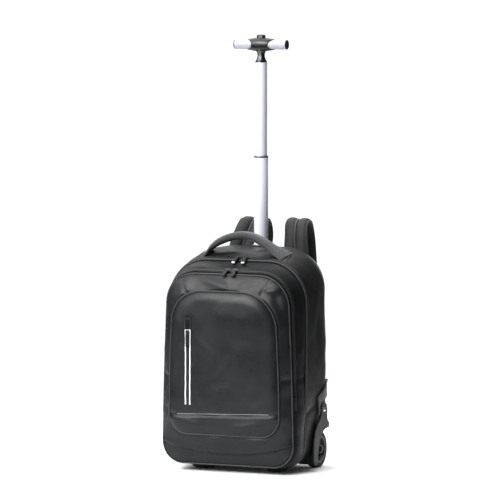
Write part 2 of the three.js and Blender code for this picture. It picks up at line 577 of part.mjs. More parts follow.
// The tab's line on the bag's side above the housing: shares of the bag's depth, and of the tab's width
const TAB_PATH = table(["depth", "rise"], [
  [0.62, 0],
  [0.69, 0.23],
  [0.761, 0.46],
  [0.819, 0.65],
  [0.876, 0.82],
  [0.912, 0.92],
]);
const tabX = (y, z) => sideAt(y, z) + TAB.lift + TAB.thick / 2;
for (const [name, side] of SIDES) {
  const rows = STRAP_PATH.map((row) => {
    const splay = row.splay * STRAP.splay * (Math.PI / 180);
    const x = side * row.x * BAG.width + row.sway * STRAP.sway[name];
    return {
      at: new THREE.Vector3(x, strapY + row.behind * STRAP.standOff, row.z * BAG.height),
      across: new THREE.Vector3(Math.cos(splay), -side * Math.sin(splay), 0),
      wide: row.wide * STRAP.wide,
      thick: STRAP.thick,
    };
  });
  add("shoulder_strap_" + name, strap(rows, { steps: 26, round: 0.8 }), webbing);

  // The tab lies on the bag's side, and its webbing goes round the back corner up to the pad's end
  const tabRows = TAB_PATH.map(({ depth, rise }) => {
    const [y, z] = [seamY({ y: depth }), HOUSING.tongueTop + TAB.overHousing + rise * TAB.wide];
    const at = new THREE.Vector3(side * tabX(y, z), y, z);
    return { at, across: new THREE.Vector3(0, 0, 1), wide: TAB.wide, thick: TAB.thick };
  });
  add("strap_tab_" + name, strap(tabRows, { steps: 10, round: 0 }), webbing);
  const [before, tabEnd] = tabRows.slice(-2).map((row) => row.at);
  const onward = tabEnd.clone().sub(before).normalize();
  const padEnd = rows.at(-1).at;
  const padAlong = padEnd.clone().sub(rows.at(-2).at).normalize();
  const start = padEnd.clone().addScaledVector(padAlong, 2 * GAP);
  const web = WEB_PATH.map((row) => ({
    at: new THREE.Vector3(THREE.MathUtils.lerp(start.x, tabEnd.x, row.toTab),
      strapY + row.behind * STRAP.standOff, row.z * BAG.height),
    across: new THREE.Vector3(1 - row.toTab, 0, side * row.toTab),
  }));
  const webRows = [
    { at: start, across: new THREE.Vector3(1, 0, 0) },
    { at: start.clone().addScaledVector(padAlong, BUCKLE.long * 0.7), across: new THREE.Vector3(1, 0, 0) },
    ...web,
    { at: tabEnd.clone().addScaledVector(onward, TAB.lead), across: new THREE.Vector3(0, 0, side) },
    { at: tabEnd.clone().addScaledVector(onward, 2 * GAP), across: new THREE.Vector3(0, 0, side) },
  ].map((row) => ({ ...row, wide: STRAP.webWide, thick: STRAP.webThick }));
  add("strap_webbing_" + name, strap(webRows, { steps: 18, round: 0 }), webbing);

  // Ladder buckle, laid on the outside of the webbing just below the pad
  const [webStart, webNext] = [webRows[0].at, webRows[1].at];
  const down = webNext.clone().sub(webStart).normalize();
  const wide = new THREE.Vector3(1, 0, 0).addScaledVector(down, -down.x).normalize();
  const out = wide.clone().cross(down);
  if (out.y < 0) out.negate();
  const plate = block([-BUCKLE.wide / 2, 0, 0], [BUCKLE.wide / 2, BUCKLE.long, BUCKLE.thick]);
  const slotLong = (BUCKLE.long - 3 * BUCKLE.bar) / 2;
  const slots = [0, 1].map((k) => {
    const low = BUCKLE.bar + k * (slotLong + BUCKLE.bar);
    return block([-STRAP.webWide / 2, low, -1], [STRAP.webWide / 2, low + slotLong, BUCKLE.thick + 1]);
  });
  const buckle = cut(plate, ...slots);
  const corner = wide.clone().cross(down).dot(out) > 0 ? wide : wide.clone().negate();
  const turn = new THREE.Matrix4().makeBasis(corner, down, out);
  turn.setPosition(webStart.clone().addScaledVector(out, STRAP.thick / 2 + GAP));
  add("ladder_buckle_" + name, outwards(indexed(buckle.applyMatrix4(turn))), black);
}

// Telescopic pole: a fixed outer tube in the bag, a middle tube and a top tube that carries the grip
const crownTop = BAG.height + GAP;
const poleFoot = sectionAt(POLE.outerRadius).foot * BAG.height + CLOTH.wall + 3 * GAP;
add("pole_collar", tube(COLLAR.radius, POLE.outerRadius + GAP, crownTop, crownTop + COLLAR.thick), black);
const outerTop = crownTop + COLLAR.thick;
const outerInner = POLE.outerRadius - POLE.wall;
add("pole_outer", turned([
  [0, poleFoot], [POLE.outerRadius, poleFoot], [POLE.outerRadius, outerTop], [outerInner, outerTop],
  [outerInner, poleFoot + POLE.floor], [0, poleFoot + POLE.floor],
]), anodised);
const middle = new THREE.Group();
const middleTop = POLE.joint - GAP;
const middleInner = POLE.middleRadius - POLE.wall;
add("pole_middle", tube(POLE.middleRadius, middleInner, outerTop - POLE.overlap, middleTop), anodised, middle);
const ring = tube(POLE.middleRadius + GAP, middleInner, POLE.joint, POLE.joint + POLE.ringTall);
add("pole_ring", ring, black, middle);
const upper = new THREE.Group();
const topInner = POLE.topRadius - POLE.wall;
const neckFoot = POLE.grip - NECK.drop;
add("pole_top", tube(POLE.topRadius, topInner, POLE.joint - POLE.overlap, neckFoot - GAP), anodised, upper);

// Grip: a moulded hub on a waisted neck, two bar halves with end caps, and the release button
const hubBody = new THREE.SphereGeometry(1, 16, 10)
  .rotateZ(Math.PI / 2)
  .scale(GRIP.hubSwell, GRIP.hubDeep / 2, GRIP.hubTall / 2)
  .translate(0, 0, POLE.grip);
const hubReach = BAG.depth;
const hubSpan = block([-GRIP.hubHalf, -hubReach, 0], [GRIP.hubHalf, hubReach, 2 * POLE.grip]);
const neck = turned([
  [0, neckFoot],
  [NECK.footRadius, neckFoot],
  [NECK.footRadius, neckFoot + NECK.tall * 0.12],
  [NECK.waistRadius, neckFoot + NECK.tall * 0.42],
  [NECK.waistRadius + 1, neckFoot + NECK.tall * 0.7],
  [NECK.headRadius, neckFoot + NECK.tall],
  [0, neckFoot + NECK.tall],
]);
const hubTop = POLE.grip + GRIP.hubTall / 2;
const buttonBlock = (grow, low, high) => {
  const [x, y] = [BUTTON.wide / 2 + grow, BUTTON.deep / 2 + grow];
  return block([-x, -y, low], [x, y, high]);
};
const buttonPocket = buttonBlock(GAP, hubTop - BUTTON.pocket, hubTop + BUTTON.pocket);
add("handle_hub", cut(join(keep(hubBody, hubSpan), neck), buttonPocket), greyPlastic, upper);
for (const [name, side] of SIDES) {
  const along = (low, high) =>
    mirrored(rod(GRIP.barRadius, low, high).rotateY(Math.PI / 2).translate(0, 0, POLE.grip), side);
  const capFoot = GRIP.halfLong - GRIP.capLong;
  add("handle_bar_" + name, along(GRIP.hubHalf + GAP, capFoot - GAP), anodised, upper);
  add("handle_cap_" + name, along(capFoot, GRIP.halfLong), black, upper);
}
const button = buttonBlock(0, hubTop - BUTTON.pocket + BUTTON.travel + 2 * GAP, hubTop + BUTTON.proud);
add("handle_button", button, black, upper);
middle.add(upper);
root.add(middle);

// Feet under the front of the main compartment
const bagFloor = mainSeam.foot * BAG.height;
const footX = BAG.width / 2 - FOOT.inset;
const footRear = seamY(mainSeam) + FOOT.behindSeam + FOOT.long;
for (const [name, side] of SIDES) {
  const shape = new THREE.Shape();
  const head = bagFloor - GAP;
  shape.moveTo(-FOOT.halfWide, head);
  shape.quadraticCurveTo(-FOOT.halfWide * 0.72, 0, -FOOT.flat, 0);
  shape.lineTo(FOOT.flat, 0);
  shape.quadraticCurveTo(FOOT.halfWide * 0.72, 0, FOOT.halfWide, head);
  const options = { depth: FOOT.long, bevelEnabled: false, curveSegments: 6 };
  const solid = new THREE.ExtrudeGeometry(shape, options).rotateX(Math.PI / 2);
  add("foot_" + name, solid.translate(side * footX, footRear, 0), rubber);
}

// Wheels in moulded housings at the lower back corners
const hoodRadius = wellRadius - GAP;
const plateX = sideAt(axle.y - wellRadius, HOUSING.tongueTop) + 2 * GAP;
const plateOut = plateX + HOUSING.plate;
const housingFoot = HOUSING.foot;
const hoodRear = axle.y + WHEEL.radius;
function hoodShape() {
  const inner = hoodRadius - HOUSING.wall;
  const hood = new THREE.Shape();
  hood.moveTo(axle.y - hoodRadius, housingFoot);
  hood.lineTo(axle.y - hoodRadius, axle.z);
  hood.absarc(axle.y, axle.z, hoodRadius, Math.PI, Math.PI / 2, true);
  hood.lineTo(hoodRear, axle.z + hoodRadius);
  hood.lineTo(hoodRear, axle.z + inner);
  hood.lineTo(axle.y, axle.z + inner);
  hood.absarc(axle.y, axle.z, inner, Math.PI / 2, Math.PI, false);
  hood.lineTo(axle.y - inner, housingFoot);
  return hood;
}
function plateShape() {
  const r = hoodRadius + HOUSING.lip;
  const { bossRadius, tongueHalf, tongueTop } = HOUSING;
  const tongueY = axle.y - HOUSING.tongueShift;
  const shape = new THREE.Shape();
  shape.moveTo(hoodRear, axle.z + r);
  shape.lineTo(tongueY + tongueHalf, axle.z + r);
  shape.lineTo(tongueY + tongueHalf, tongueTop - tongueHalf);
  shape.absarc(tongueY, tongueTop - tongueHalf, tongueHalf, 0, Math.PI, false);
  const meet = Math.acos((tongueY - tongueHalf - axle.y) / r);
  shape.absarc(axle.y, axle.z, r, meet, Math.PI, false);
  shape.lineTo(axle.y - r, housingFoot + r * 0.1);
  shape.lineTo(axle.y - r * 0.9, housingFoot);
  shape.lineTo(axle.y - r * 0.5, housingFoot);
  shape.quadraticCurveTo(axle.y - bossRadius, axle.z - r * 0.42, axle.y, axle.z - bossRadius);
  shape.absarc(axle.y, axle.z, bossRadius, -Math.PI / 2, Math.PI / 3, false);
  shape.quadraticCurveTo(axle.y - r * 0.12, axle.z + r * 0.5, axle.y + r * 0.2, axle.z + r * 0.72);
  shape.lineTo(hoodRear, axle.z + r * 0.76);
  return shape;
}
const disc = (radius) => new THREE.Shape().absarc(axle.y, axle.z, radius, 0, 2 * Math.PI, false);
const wheelInner = axle.x - WHEEL.wide / 2 - WHEEL.bossOver;
const wheelOuter = axle.x + WHEEL.wide / 2 + WHEEL.bossOver;
const housing = () => {
  const start = wellInner + GAP;
  const wallPlate = sidePlate(wellShape(hoodRadius, housingFoot, hoodRear), start, start + HOUSING.wall);
  return join(
    sidePlate(hoodShape(), start, plateOut),
    wallPlate,
    sidePlate(plateShape(), plateX, plateOut, 6),
    sidePlate(disc(WHEEL.axleRadius), start + 1, plateOut - 1, 12),
    sidePlate(disc(WHEEL.axleRadius * 2), start + 1, wheelInner - GAP, 12),
    sidePlate(disc(WHEEL.axleRadius * 2), wheelOuter + GAP, plateX + 1, 12),
  );
};
for (const [name, side] of SIDES) {
  add("wheel_housing_" + name, mirrored(housing(), side), greyPlastic);
  const about = (profile) => {
    const spun = turned(profile).rotateY(Math.PI / 2);
    return mirrored(spun.translate(axle.x, axle.y, axle.z), side);
  };
  const [half, over] = [WHEEL.wide / 2, WHEEL.wide / 2 + WHEEL.bossOver];
  const [r, seat, bore] = [WHEEL.radius, WHEEL.hubRadius, WHEEL.axleRadius + WHEEL.boreRun];
  add("wheel_tyre_" + name, about([
    [seat + GAP, -half], [r - 2, -half], [r, 3 - half], [r, half - 3], [r - 2, half], [seat + GAP, half],
  ]), rubber);
  add("wheel_hub_" + name, about([
    [bore, -over], [bore * 2, -over], [seat * 0.85, -half * 0.5], [seat, -half], [seat, half],
    [seat * 0.85, half * 0.5], [bore * 2, over], [bore, over],
  ]), greyPlastic);
  const rivetZ = HOUSING.tongueTop - RIVET.drop;
  const rivet = rod(RIVET.radius, plateOut + GAP, plateOut + GAP + RIVET.thick).rotateY(Math.PI / 2);
  const rivetAt = rivet.translate(0, axle.y - HOUSING.tongueShift, rivetZ);
  add("housing_rivet_" + name, mirrored(rivetAt, side), anodised);
}

// The origin goes to the bottom centre of the whole bag's box, front to back; it stays on the pole's plane in x
const box = new THREE.Box3().setFromObject(root);
root.children.forEach((child) => (child.position.y -= (box.min.y + box.max.y) / 2));

export default root;
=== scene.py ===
import math
import bmesh
import bpy
import numpy as np
from mathutils import Matrix, Vector, noise
from mathutils.bvhtree import BVHTree


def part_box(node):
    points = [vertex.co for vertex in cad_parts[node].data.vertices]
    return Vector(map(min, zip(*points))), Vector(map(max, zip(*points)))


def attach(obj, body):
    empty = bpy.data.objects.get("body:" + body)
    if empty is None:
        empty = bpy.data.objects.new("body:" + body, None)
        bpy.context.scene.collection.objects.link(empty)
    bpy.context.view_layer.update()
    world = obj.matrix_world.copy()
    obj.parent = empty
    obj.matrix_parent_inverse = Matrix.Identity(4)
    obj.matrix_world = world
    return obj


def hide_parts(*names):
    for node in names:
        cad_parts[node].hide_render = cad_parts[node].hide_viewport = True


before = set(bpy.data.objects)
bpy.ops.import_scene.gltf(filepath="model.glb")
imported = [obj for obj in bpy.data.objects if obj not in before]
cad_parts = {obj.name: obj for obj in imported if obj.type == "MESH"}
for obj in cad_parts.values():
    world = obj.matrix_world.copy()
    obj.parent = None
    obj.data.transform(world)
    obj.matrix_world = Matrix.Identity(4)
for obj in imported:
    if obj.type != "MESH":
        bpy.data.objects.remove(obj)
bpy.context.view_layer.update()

# Camera: a long lens nine metres off, level with the grip's middle and looking slightly down. The pole's axis
# is where every size of the bag is counted from, so it is found first.
low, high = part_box("pole_top")
POLE_Y = (low[1] + high[1]) / 2
AZIMUTH, DISTANCE, EYE_HEIGHT, PITCH = 23.0, 9.11, 1.208, 4.57
lens = bpy.data.cameras.new("camera")
lens.sensor_width, lens.lens = 36, 298.8
lens.shift_x, lens.shift_y = -0.0223, -0.0074
camera = bpy.data.objects.new("camera", lens)
turn = math.radians(AZIMUTH)
camera.location = (DISTANCE * math.sin(turn), POLE_Y - DISTANCE * math.cos(turn), EYE_HEIGHT)
camera.rotation_euler = (math.radians(90 - PITCH), 0, turn)
bpy.context.collection.objects.link(camera)
bpy.context.scene.camera = camera
bpy.context.scene.view_settings.view_transform = "Standard"

# Studio: a round of white painted board under the bag and one large soft lamp at the front left. The world
# holds three bright boards, behind, at the front left and overhead, so that what faces up catches a grey sheen
# and the right side stays dark.


def linear(hex_code):
    """An sRGB hex colour as linear RGBA"""
    parts = [int(hex_code[i:i + 2], 16) / 255 for i in (1, 3, 5)]
    return (*[c / 12.92 if c <= 0.04045 else ((c + 0.055) / 1.055) ** 2.4 for c in parts], 1)


def node(tree, kind, links=None, **settings):
    """Adds one node; settings name its properties or its sockets, links name a socket and what feeds it"""
    made = tree.nodes.new(kind)
    for name, value in settings.items():
        if hasattr(made, name):
            setattr(made, name, value)
        else:
            made.inputs[name.replace("_", " ")].default_value = value
    for socket, source in (links or {}).items():
        tree.links.new(source, made.inputs[socket])
    return made


def shader(name, colour, roughness, metallic=0.0, **more):
    """A material with one principled shader on its output"""
    material = bpy.data.materials.new(name)
    material.use_nodes = True
    tree = material.node_tree
    bsdf = next(n for n in tree.nodes if n.type == "BSDF_PRINCIPLED")
    bsdf.inputs["Base Color"].default_value = linear(colour)
    bsdf.inputs["Roughness"].default_value = roughness
    bsdf.inputs["Metallic"].default_value = metallic
    for socket, value in more.items():
        bsdf.inputs[socket.replace("_", " ")].default_value = value
    return material, tree, bsdf


world = bpy.data.worlds.new("studio")
world.use_nodes = True
bpy.context.scene.world = world
backdrop = world.node_tree.nodes["Background"]
heading = node(world.node_tree, "ShaderNodeTexCoord")
BOARDS = (
    # way it lies in, where its edge starts and ends (as a cosine), how bright it is
    ("back", (-0.39, 0.92, 0.0), 0.90, 0.985, 1.0),
    ("front", (-0.50, -0.75, 0.43), 0.76, 0.98, 1.65),
    ("roof", (-0.3, 0.15, 0.94), 0.5, 0.88, 3.4),
)
glow = node(world.node_tree, "ShaderNodeValue").outputs[0]
glow.default_value = 0.10
for name, way, low, high, bright in BOARDS:
    toward = node(world.node_tree, "ShaderNodeVectorMath", {0: heading.outputs["Generated"]},
                  operation="DOT_PRODUCT")
    toward.inputs[1].default_value = way
    part = node(world.node_tree, "ShaderNodeMapRange", {"Value": toward.outputs["Value"]},
                interpolation_type="SMOOTHSTEP")
    for socket, value in (("From Min", low), ("From Max", high), ("To Min", 0), ("To Max", bright)):
        part.inputs[socket].default_value = value
    glow = node(world.node_tree, "ShaderNodeMath", {0: glow, 1: part.outputs["Result"]},
                operation="ADD").outputs[0]
world.node_tree.links.new(glow, backdrop.inputs["Strength"])
backdrop.inputs["Color"].default_value = linear("#ffffff")
board, _, _ = shader("painted_board", "#fbfbfb", 0.9)
ground = bpy.data.meshes.new("floor")
rim = [(math.cos(a), math.sin(a), 0) for a in np.linspace(0, 2 * math.pi, 96, endpoint=False)]
ground.from_pydata(rim, [], [tuple(range(96))])
ground.materials.append(board)
floor = bpy.data.objects.new("floor", ground)
bpy.context.collection.objects.link(floor)
KEY_PLACE, KEY_AIM = Vector((-1.0, -2.8, 2.2)), Vector((0, 0, 0.8))
lamp = bpy.data.lights.new("key", "AREA")
lamp.size, lamp.energy, lamp.spread = 1.8, 24, math.radians(60)
key = bpy.data.objects.new("key", lamp)
key.location = KEY_PLACE
key.rotation_euler = (KEY_AIM - KEY_PLACE).to_track_quat("-Z", "Y").to_euler()
bpy.context.collection.objects.link(key)

# Bag cloth: panels cut from polyester twill with a thin polyurethane coat on its face, sewn together at four
# seams. The coat gives a soft grey gloss on what faces the light and fine creases where the cloth is pulled.
WIDTH, HEIGHT, DEPTH, REACH = 0.3245, 0.481, 0.226, 0.202
WALL = 0.0016
BELLY = 0.0012
POCKET_SEAM = (0, 0.395, 0.377, 0.177, 0.823, 0.128, 0.256, 0.207)
FRONT_SEAM = (0.08, 0.47, 0.442, 0.037, 0.897, 0.143, 0.216, 0.207)
MAIN_SEAM = (0.305, 0.485, 0.498, 0.029, 0.953, 0.137, 0.276, 0.286)
BACK_SEAM = (1, 0.4, 0.398, 0.112, 0.963, 0.137, 0.25, 0.25)
# y as a share of the depth, half widths and roundings as shares of the width, foot and top of the height
SURROUND = (FRONT_SEAM, (0.046, 0.441, 0.421, 0.093, 0.875, 0.137, 0.23, 0.207), POCKET_SEAM)
FRONT_GUSSET = (MAIN_SEAM, (0.23, 0.491, 0.49, 0.029, 0.939, 0.14, 0.262, 0.27),
                (0.155, 0.487, 0.469, 0.031, 0.921, 0.142, 0.242, 0.242), FRONT_SEAM)
MAIN_GUSSET = (MAIN_SEAM, (0.398, 0.484, 0.502, 0.029, 0.973, 0.134, 0.282, 0.29),
               (0.575, 0.483, 0.502, 0.029, 0.993, 0.128, 0.29, 0.29),
               (0.761, 0.482, 0.494, 0.029, 1, 0.128, 0.29, 0.29),
               (0.876, 0.472, 0.473, 0.036, 1, 0.128, 0.288, 0.288),
               (0.938, 0.456, 0.454, 0.056, 0.996, 0.131, 0.28, 0.28),
               (0.978, 0.43, 0.428, 0.081, 0.984, 0.134, 0.268, 0.268), BACK_SEAM)
ARC_STEPS = (("floor", 12), ("corner", 16), ("side", 54), ("shoulder", 30), ("crown", 16))


def outline(section):
    """Points round one cross-section of the bag, from the middle of its foot up the right side and back"""
    y, foot_half, top_half, foot, top, foot_round, right_round, left_round = section
    foot, top = foot * HEIGHT, top * HEIGHT
    foot_half, top_half, corner = foot_half * WIDTH, top_half * WIDTH, foot_round * WIDTH
    sides = []
    for side, shoulder in ((1, right_round * WIDTH), (-1, left_round * WIDTH)):
        points = []
        for part, count in ARC_STEPS:
            t = np.arange(count) / count
            a = t * math.pi / 2
            points.append({
                "floor": (t * (foot_half - corner), t * 0 + foot),
                "corner": (foot_half - corner + corner * np.sin(a), foot + corner - corner * np.cos(a)),
                "side": (foot_half + (top_half - foot_half) * t + BELLY * np.sin(math.pi * t),
                         foot + corner + (top - shoulder - foot - corner) * t),
                "shoulder": (top_half - shoulder + shoulder * np.cos(a), top - shoulder + shoulder * np.sin(a)),
                "crown": ((top_half - shoulder) * (1 - t), t * 0 + top),
            }[part])
        x, z = np.concatenate([np.stack(p) for p in points], axis=1)
        sides.append(np.stack([side * x, x * 0 + y * DEPTH - REACH + POLE_Y, z], axis=1))
    right, left = sides
    crown = np.array([[0, right[0, 1], top]])
    return np.concatenate([right, crown, left[:0:-1]])


def smooth_rows(rows, count):
    """Catmull-Rom rows between the given ones, evenly stepped"""
    rows = np.asarray(rows, float)
    padded = np.concatenate([2 * rows[:1] - rows[1:2], rows, 2 * rows[-1:] - rows[-2:-1]])
    made = []
    for s in np.linspace(0, len(rows) - 1, count):
        k = min(int(s), len(rows) - 2)
        t = s - k
        a, b, c, d = padded[k:k + 4]
        made.append(0.5 * (2 * b + (c - a) * t + (2 * a - 5 * b + 4 * c - d) * t * t
                           + (3 * b - a - 3 * c + d) * t ** 3))
    return np.array(made)


def grid_normals(grid, round_it=True):
    """Unit normals of a grid of points, which closes round its second axis if asked"""
    if round_it:
        along = np.roll(grid, -1, 1) - np.roll(grid, 1, 1)
    else:
        along = np.gradient(grid, axis=1)
    normal = np.cross(along, np.gradient(grid, axis=0))
    return normal / np.maximum(np.linalg.norm(normal, axis=2, keepdims=True), 1e-12)


def ripple(points, scale, seed):
    """Soft noise for each point, about -1 to 1, with features of about `scale` metres"""
    flat = points.reshape(-1, 3) / scale + seed * 7.31
    return np.array([noise.noise(Vector(p)) for p in flat]).reshape(points.shape[:-1]) * 1.6


def smoothstep(x):
    x = np.clip(x, 0, 1)
    return x * x * (3 - 2 * x)


def groove(distance, depth, width):
    """A pinch along a seam: the cloth rolls down into it from both sides"""
    return -depth * np.exp(-(distance / width) ** 2)


def line_distance(points, start, end):
    """Distance of each point from a straight piece of seam"""
    start, end = np.array(start), np.array(end)
    along = end - start
    t = np.clip(((points - start) @ along) / (along @ along), 0, 1)
    return np.linalg.norm(points - start - t[..., None] * along, axis=-1)


def creases(points, table):
    """Folds pulled in the cloth. Each row: start, end, width, height (below 0 is a dent)"""
    total = np.zeros(points.shape[:-1])
    for start, end, width, height in table:
        start, end = np.array(start, float), np.array(end, float)
        along = end - start
        t = ((points - start) @ along) / (along @ along)
        fade = np.clip(1 - np.abs(2 * t - 1) ** 3, 0, 1)
        off = np.linalg.norm(points - start - np.clip(t, 0, 1)[..., None] * along, axis=-1)
        total += height * fade * np.exp(-(off / width) ** 2)
    return total


def at_pole(x, y, z):
    """A point given in millimetres from the pole's axis"""
    return (x / 1000, POLE_Y + y / 1000, z / 1000)


def turn_out(mesh):
    """Makes the faces of a closed mesh look outwards"""
    bm = bmesh.new()
    bm.from_mesh(mesh)
    bmesh.ops.recalc_face_normals(bm, faces=bm.faces)
    bm.to_mesh(mesh)
    bm.free()


def skin(name, rows, closed_rows, round_it=True, uv_origin=(0, 0)):
    """A mesh over rows of points. closed_rows joins the last row to the first. UVs are in real metres"""
    rows = np.asarray(rows, float)
    count, wide = rows.shape[:2]
    mesh = bpy.data.meshes.new(name)
    faces, uvs = [], []
    step_u = np.linalg.norm(np.roll(rows, -1, 1) - rows, axis=2).mean(0)
    u = np.concatenate([[0], np.cumsum(step_u)]) + uv_origin[0]
    step_v = np.linalg.norm(np.roll(rows, -1, 0) - rows, axis=2).mean(1)
    v = np.concatenate([[0], np.cumsum(step_v)]) + uv_origin[1]
    for r in range(count if closed_rows else count - 1):
        s = (r + 1) % count
        for i in range(wide if round_it else wide - 1):
            j = (i + 1) % wide
            faces.append((r * wide + i, r * wide + j, s * wide + j, s * wide + i))
            uvs += [(u[i], v[r]), (u[i + 1], v[r]), (u[i + 1], v[r + 1]), (u[i], v[r + 1])]
    mesh.from_pydata([tuple(p) for p in rows.reshape(-1, 3)], [], faces)
    layer = mesh.uv_layers.new(name="cloth")
    layer.data.foreach_set("uv", np.array(uvs, dtype=np.float32).ravel())
    turn_out(mesh)
    piece = bpy.data.objects.new(name, mesh)
    bpy.context.collection.objects.link(piece)
    return piece


def close_ends(piece):
    """Caps the open loops of a mesh and turns its faces out"""
    bm = bmesh.new()
    bm.from_mesh(piece.data)
    bmesh.ops.holes_fill(bm, edges=[e for e in bm.edges if e.is_boundary], sides=0)
    bmesh.ops.recalc_face_normals(bm, faces=bm.faces)
    bm.to_mesh(piece.data)
    bm.free()
    return piece


def apply_modifiers(piece):
    """Replaces a piece's mesh by what its modifiers make of it"""
    graph = bpy.context.evaluated_depsgraph_get()
    made = bpy.data.meshes.new_from_object(piece.evaluated_get(graph))
    piece.modifiers.clear()
    piece.data = made


def cut(piece, tool, operation="DIFFERENCE"):
    """Cuts a piece with another closed one, which is then thrown away"""
    change = piece.modifiers.new("cut", "BOOLEAN")
    change.operation, change.object, change.solver = operation, tool, "MANIFOLD"
    apply_modifiers(piece)
    bpy.data.objects.remove(tool)


def dress(piece, material, body, slot, *nodes, sharp=35):
    """Gives a piece its material, smooth shading with crisp edges, the body it rides on and what it replaces"""
    piece.data.materials.clear()
    piece.data.materials.append(material)
    bm = bmesh.new()
    bm.from_mesh(piece.data)
    bmesh.ops.recalc_face_normals(bm, faces=bm.faces)
    limit = math.radians(sharp)
    for face in bm.faces:
        face.smooth, face.material_index = True, 0
    for edge in bm.edges:
        edge.smooth = not (len(edge.link_faces) == 2 and edge.calc_face_angle(0) > limit)
    bm.to_mesh(piece.data)
    bm.free()
    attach(piece, body)
    if nodes:
        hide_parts(*nodes)
    return piece


def coated_twill(name, colour, roughness, gloss):
    """Polyurethane-coated polyester twill. Threads are 0.5 mm apart and drawn at 1.1 mm so that they show"""
    material, tree, bsdf = shader(name, colour, roughness, Specular_IOR_Level=gloss, Sheen_Weight=0.02,
                                  Sheen_Roughness=0.5)
    place = node(tree, "ShaderNodeTexCoord")
    blotch = node(tree, "ShaderNodeTexNoise", {"Vector": place.outputs["Object"]}, Scale=14.0, Detail=3.0)
    grey = node(tree, "ShaderNodeMapRange", {"Value": blotch.outputs["Fac"]}, To_Min=roughness - 0.08,
                To_Max=roughness + 0.1, interpolation_type="SMOOTHERSTEP")
    grey.inputs["From Min"].default_value, grey.inputs["From Max"].default_value = 0.2, 0.8
    tree.links.new(grey.outputs["Result"], bsdf.inputs["Roughness"])
    # The tint lightens the colour up to 1.6 times in random blotches: painted sheen that mottles the coat's gloss
    # along with the rougher and smoother patches.
    painted_sheen_tint = node(tree, "ShaderNodeMix", {"Factor": blotch.outputs["Fac"]}, data_type="RGBA")
    painted_sheen_tint.inputs[6].default_value = linear(colour)
    painted_sheen_tint.inputs[7].default_value = [c * 1.6 for c in linear(colour)[:3]] + [1]
    tree.links.new(painted_sheen_tint.outputs[2], bsdf.inputs["Base Color"])
    turned = node(tree, "ShaderNodeMapping", {"Vector": place.outputs["UV"]}, Rotation=(0, 0, math.radians(28)))
    # Blender's wave texture has one band every 0.31416 m at scale 1
    thread = 0.0011
    ribs = node(tree, "ShaderNodeTexWave", {"Vector": turned.outputs["Vector"]}, Scale=0.31416 / thread)
    across = node(tree, "ShaderNodeTexWave", {"Vector": place.outputs["UV"]}, bands_direction="Y",
                  Scale=0.31416 / thread)
    weave = node(tree, "ShaderNodeMath", {0: ribs.outputs["Fac"], 1: across.outputs["Fac"]},
                 operation="MULTIPLY")
    grain = node(tree, "ShaderNodeTexNoise", {"Vector": place.outputs["Object"]}, Scale=160.0, Detail=4.0)
    height = node(tree, "ShaderNodeMath", {0: weave.outputs[0], 1: grain.outputs["Fac"]}, operation="ADD")
    bump = node(tree, "ShaderNodeBump", {"Height": height.outputs[0]}, Strength=0.35, Distance=0.00025)
    tree.links.new(bump.outputs["Normal"], bsdf.inputs["Normal"])
    return material


# The side copy of the twill, used on the gussets, the hidden wall and the zip garage, is darker and far less
# glossy than the face copy: partly painted shade, so that the sides and the garage read dark.
face_cloth = coated_twill("coated_twill_face", "#0f1012", 0.32, 0.22)
shaded_side_cloth = coated_twill("coated_twill_side_painted_shade", "#0b0c0d", 0.36, 0.08)


def cloth_shell(name, grid, wall=WALL):
    """A sewn ring of cloth: the outer face as given and an inner one `wall` behind it, joined at both edges"""
    normal = grid_normals(grid)
    middle = np.array([0, POLE_Y - 0.07, HEIGHT / 2])
    if ((grid - middle) * normal).sum() < 0:
        normal = -normal
    return skin(name, np.concatenate([grid, (grid - normal * wall)[::-1]]), True)


def edge_share(count, wide, reach):
    """0 on a ring's two sewn edges, rising to 1 at `reach` (a share of its rows) from them"""
    t = np.linspace(0, 1, count)
    return np.repeat(smoothstep(np.minimum(t, 1 - t) / reach)[:, None], wide, 1)


def sew(grid, relief, edge_roll, reach):
    """Moves a grid along its normals by `relief`, and rolls its two sewn edges down by `edge_roll`"""
    normal = grid_normals(grid)
    middle = np.array([0, POLE_Y - 0.07, HEIGHT / 2])
    if ((grid - middle) * normal).sum() < 0:
        normal = -normal
    share = edge_share(*grid.shape[:2], reach)
    return grid + normal * (relief * share - edge_roll * (1 - share))[..., None]


# Main compartment: one long gusset of cloth makes its sides, crown and floor. A cross seam on each side joins
# the zipped upper part to the plain lower one, and slanted seams at the crown end under the carry handle.
SIDE_SEAM, BOOT_SEAM = 0.209, 0.137
main_grid = smooth_rows([outline(s) for s in MAIN_GUSSET], 44)
side_only = smoothstep((np.abs(main_grid[..., 0]) - 0.12) / 0.02)
relief = 0.0011 * ripple(main_grid, 0.085, 1) + 0.0005 * ripple(main_grid, 0.03, 2)
relief += groove(main_grid[..., 2] - BOOT_SEAM - 0.25 * (main_grid[..., 1] - POLE_Y + 0.1), 0.0020, 0.0045) \
    * side_only
for side in (-1, 1):
    corner = line_distance(main_grid, at_pole(side * 107, -133, 450), at_pole(side * 103, -62, 478))
    relief += groove(corner, 0.0018, 0.003)
relief += creases(main_grid, (
    (at_pole(-70, -112, 466), at_pole(20, -86, 477), 0.008, 0.0038),
    (at_pole(60, -75, 478), at_pole(95, -120, 462), 0.008, 0.0030),
    (at_pole(-20, -100, 472), at_pole(70, -70, 479), 0.008, -0.0028),
    (at_pole(-100, -50, 470), at_pole(-30, -20, 481), 0.010, 0.0018),
    (at_pole(164, -110, 300), at_pole(165, -60, 400), 0.016, 0.0016),
    (at_pole(163, -20, 150), at_pole(165, -80, 330), 0.014, -0.0018),
    (at_pole(-164, -100, 250), at_pole(-165, -60, 420), 0.016, 0.0016),
))
main_gusset = cloth_shell("main_gusset", sew(main_grid, relief, 0.0012, 0.09))
WELL_RADIUS, WELL_INNER, AXLE_Z, AXLE_Y = 0.056, 0.121, 0.040, POLE_Y - 0.018


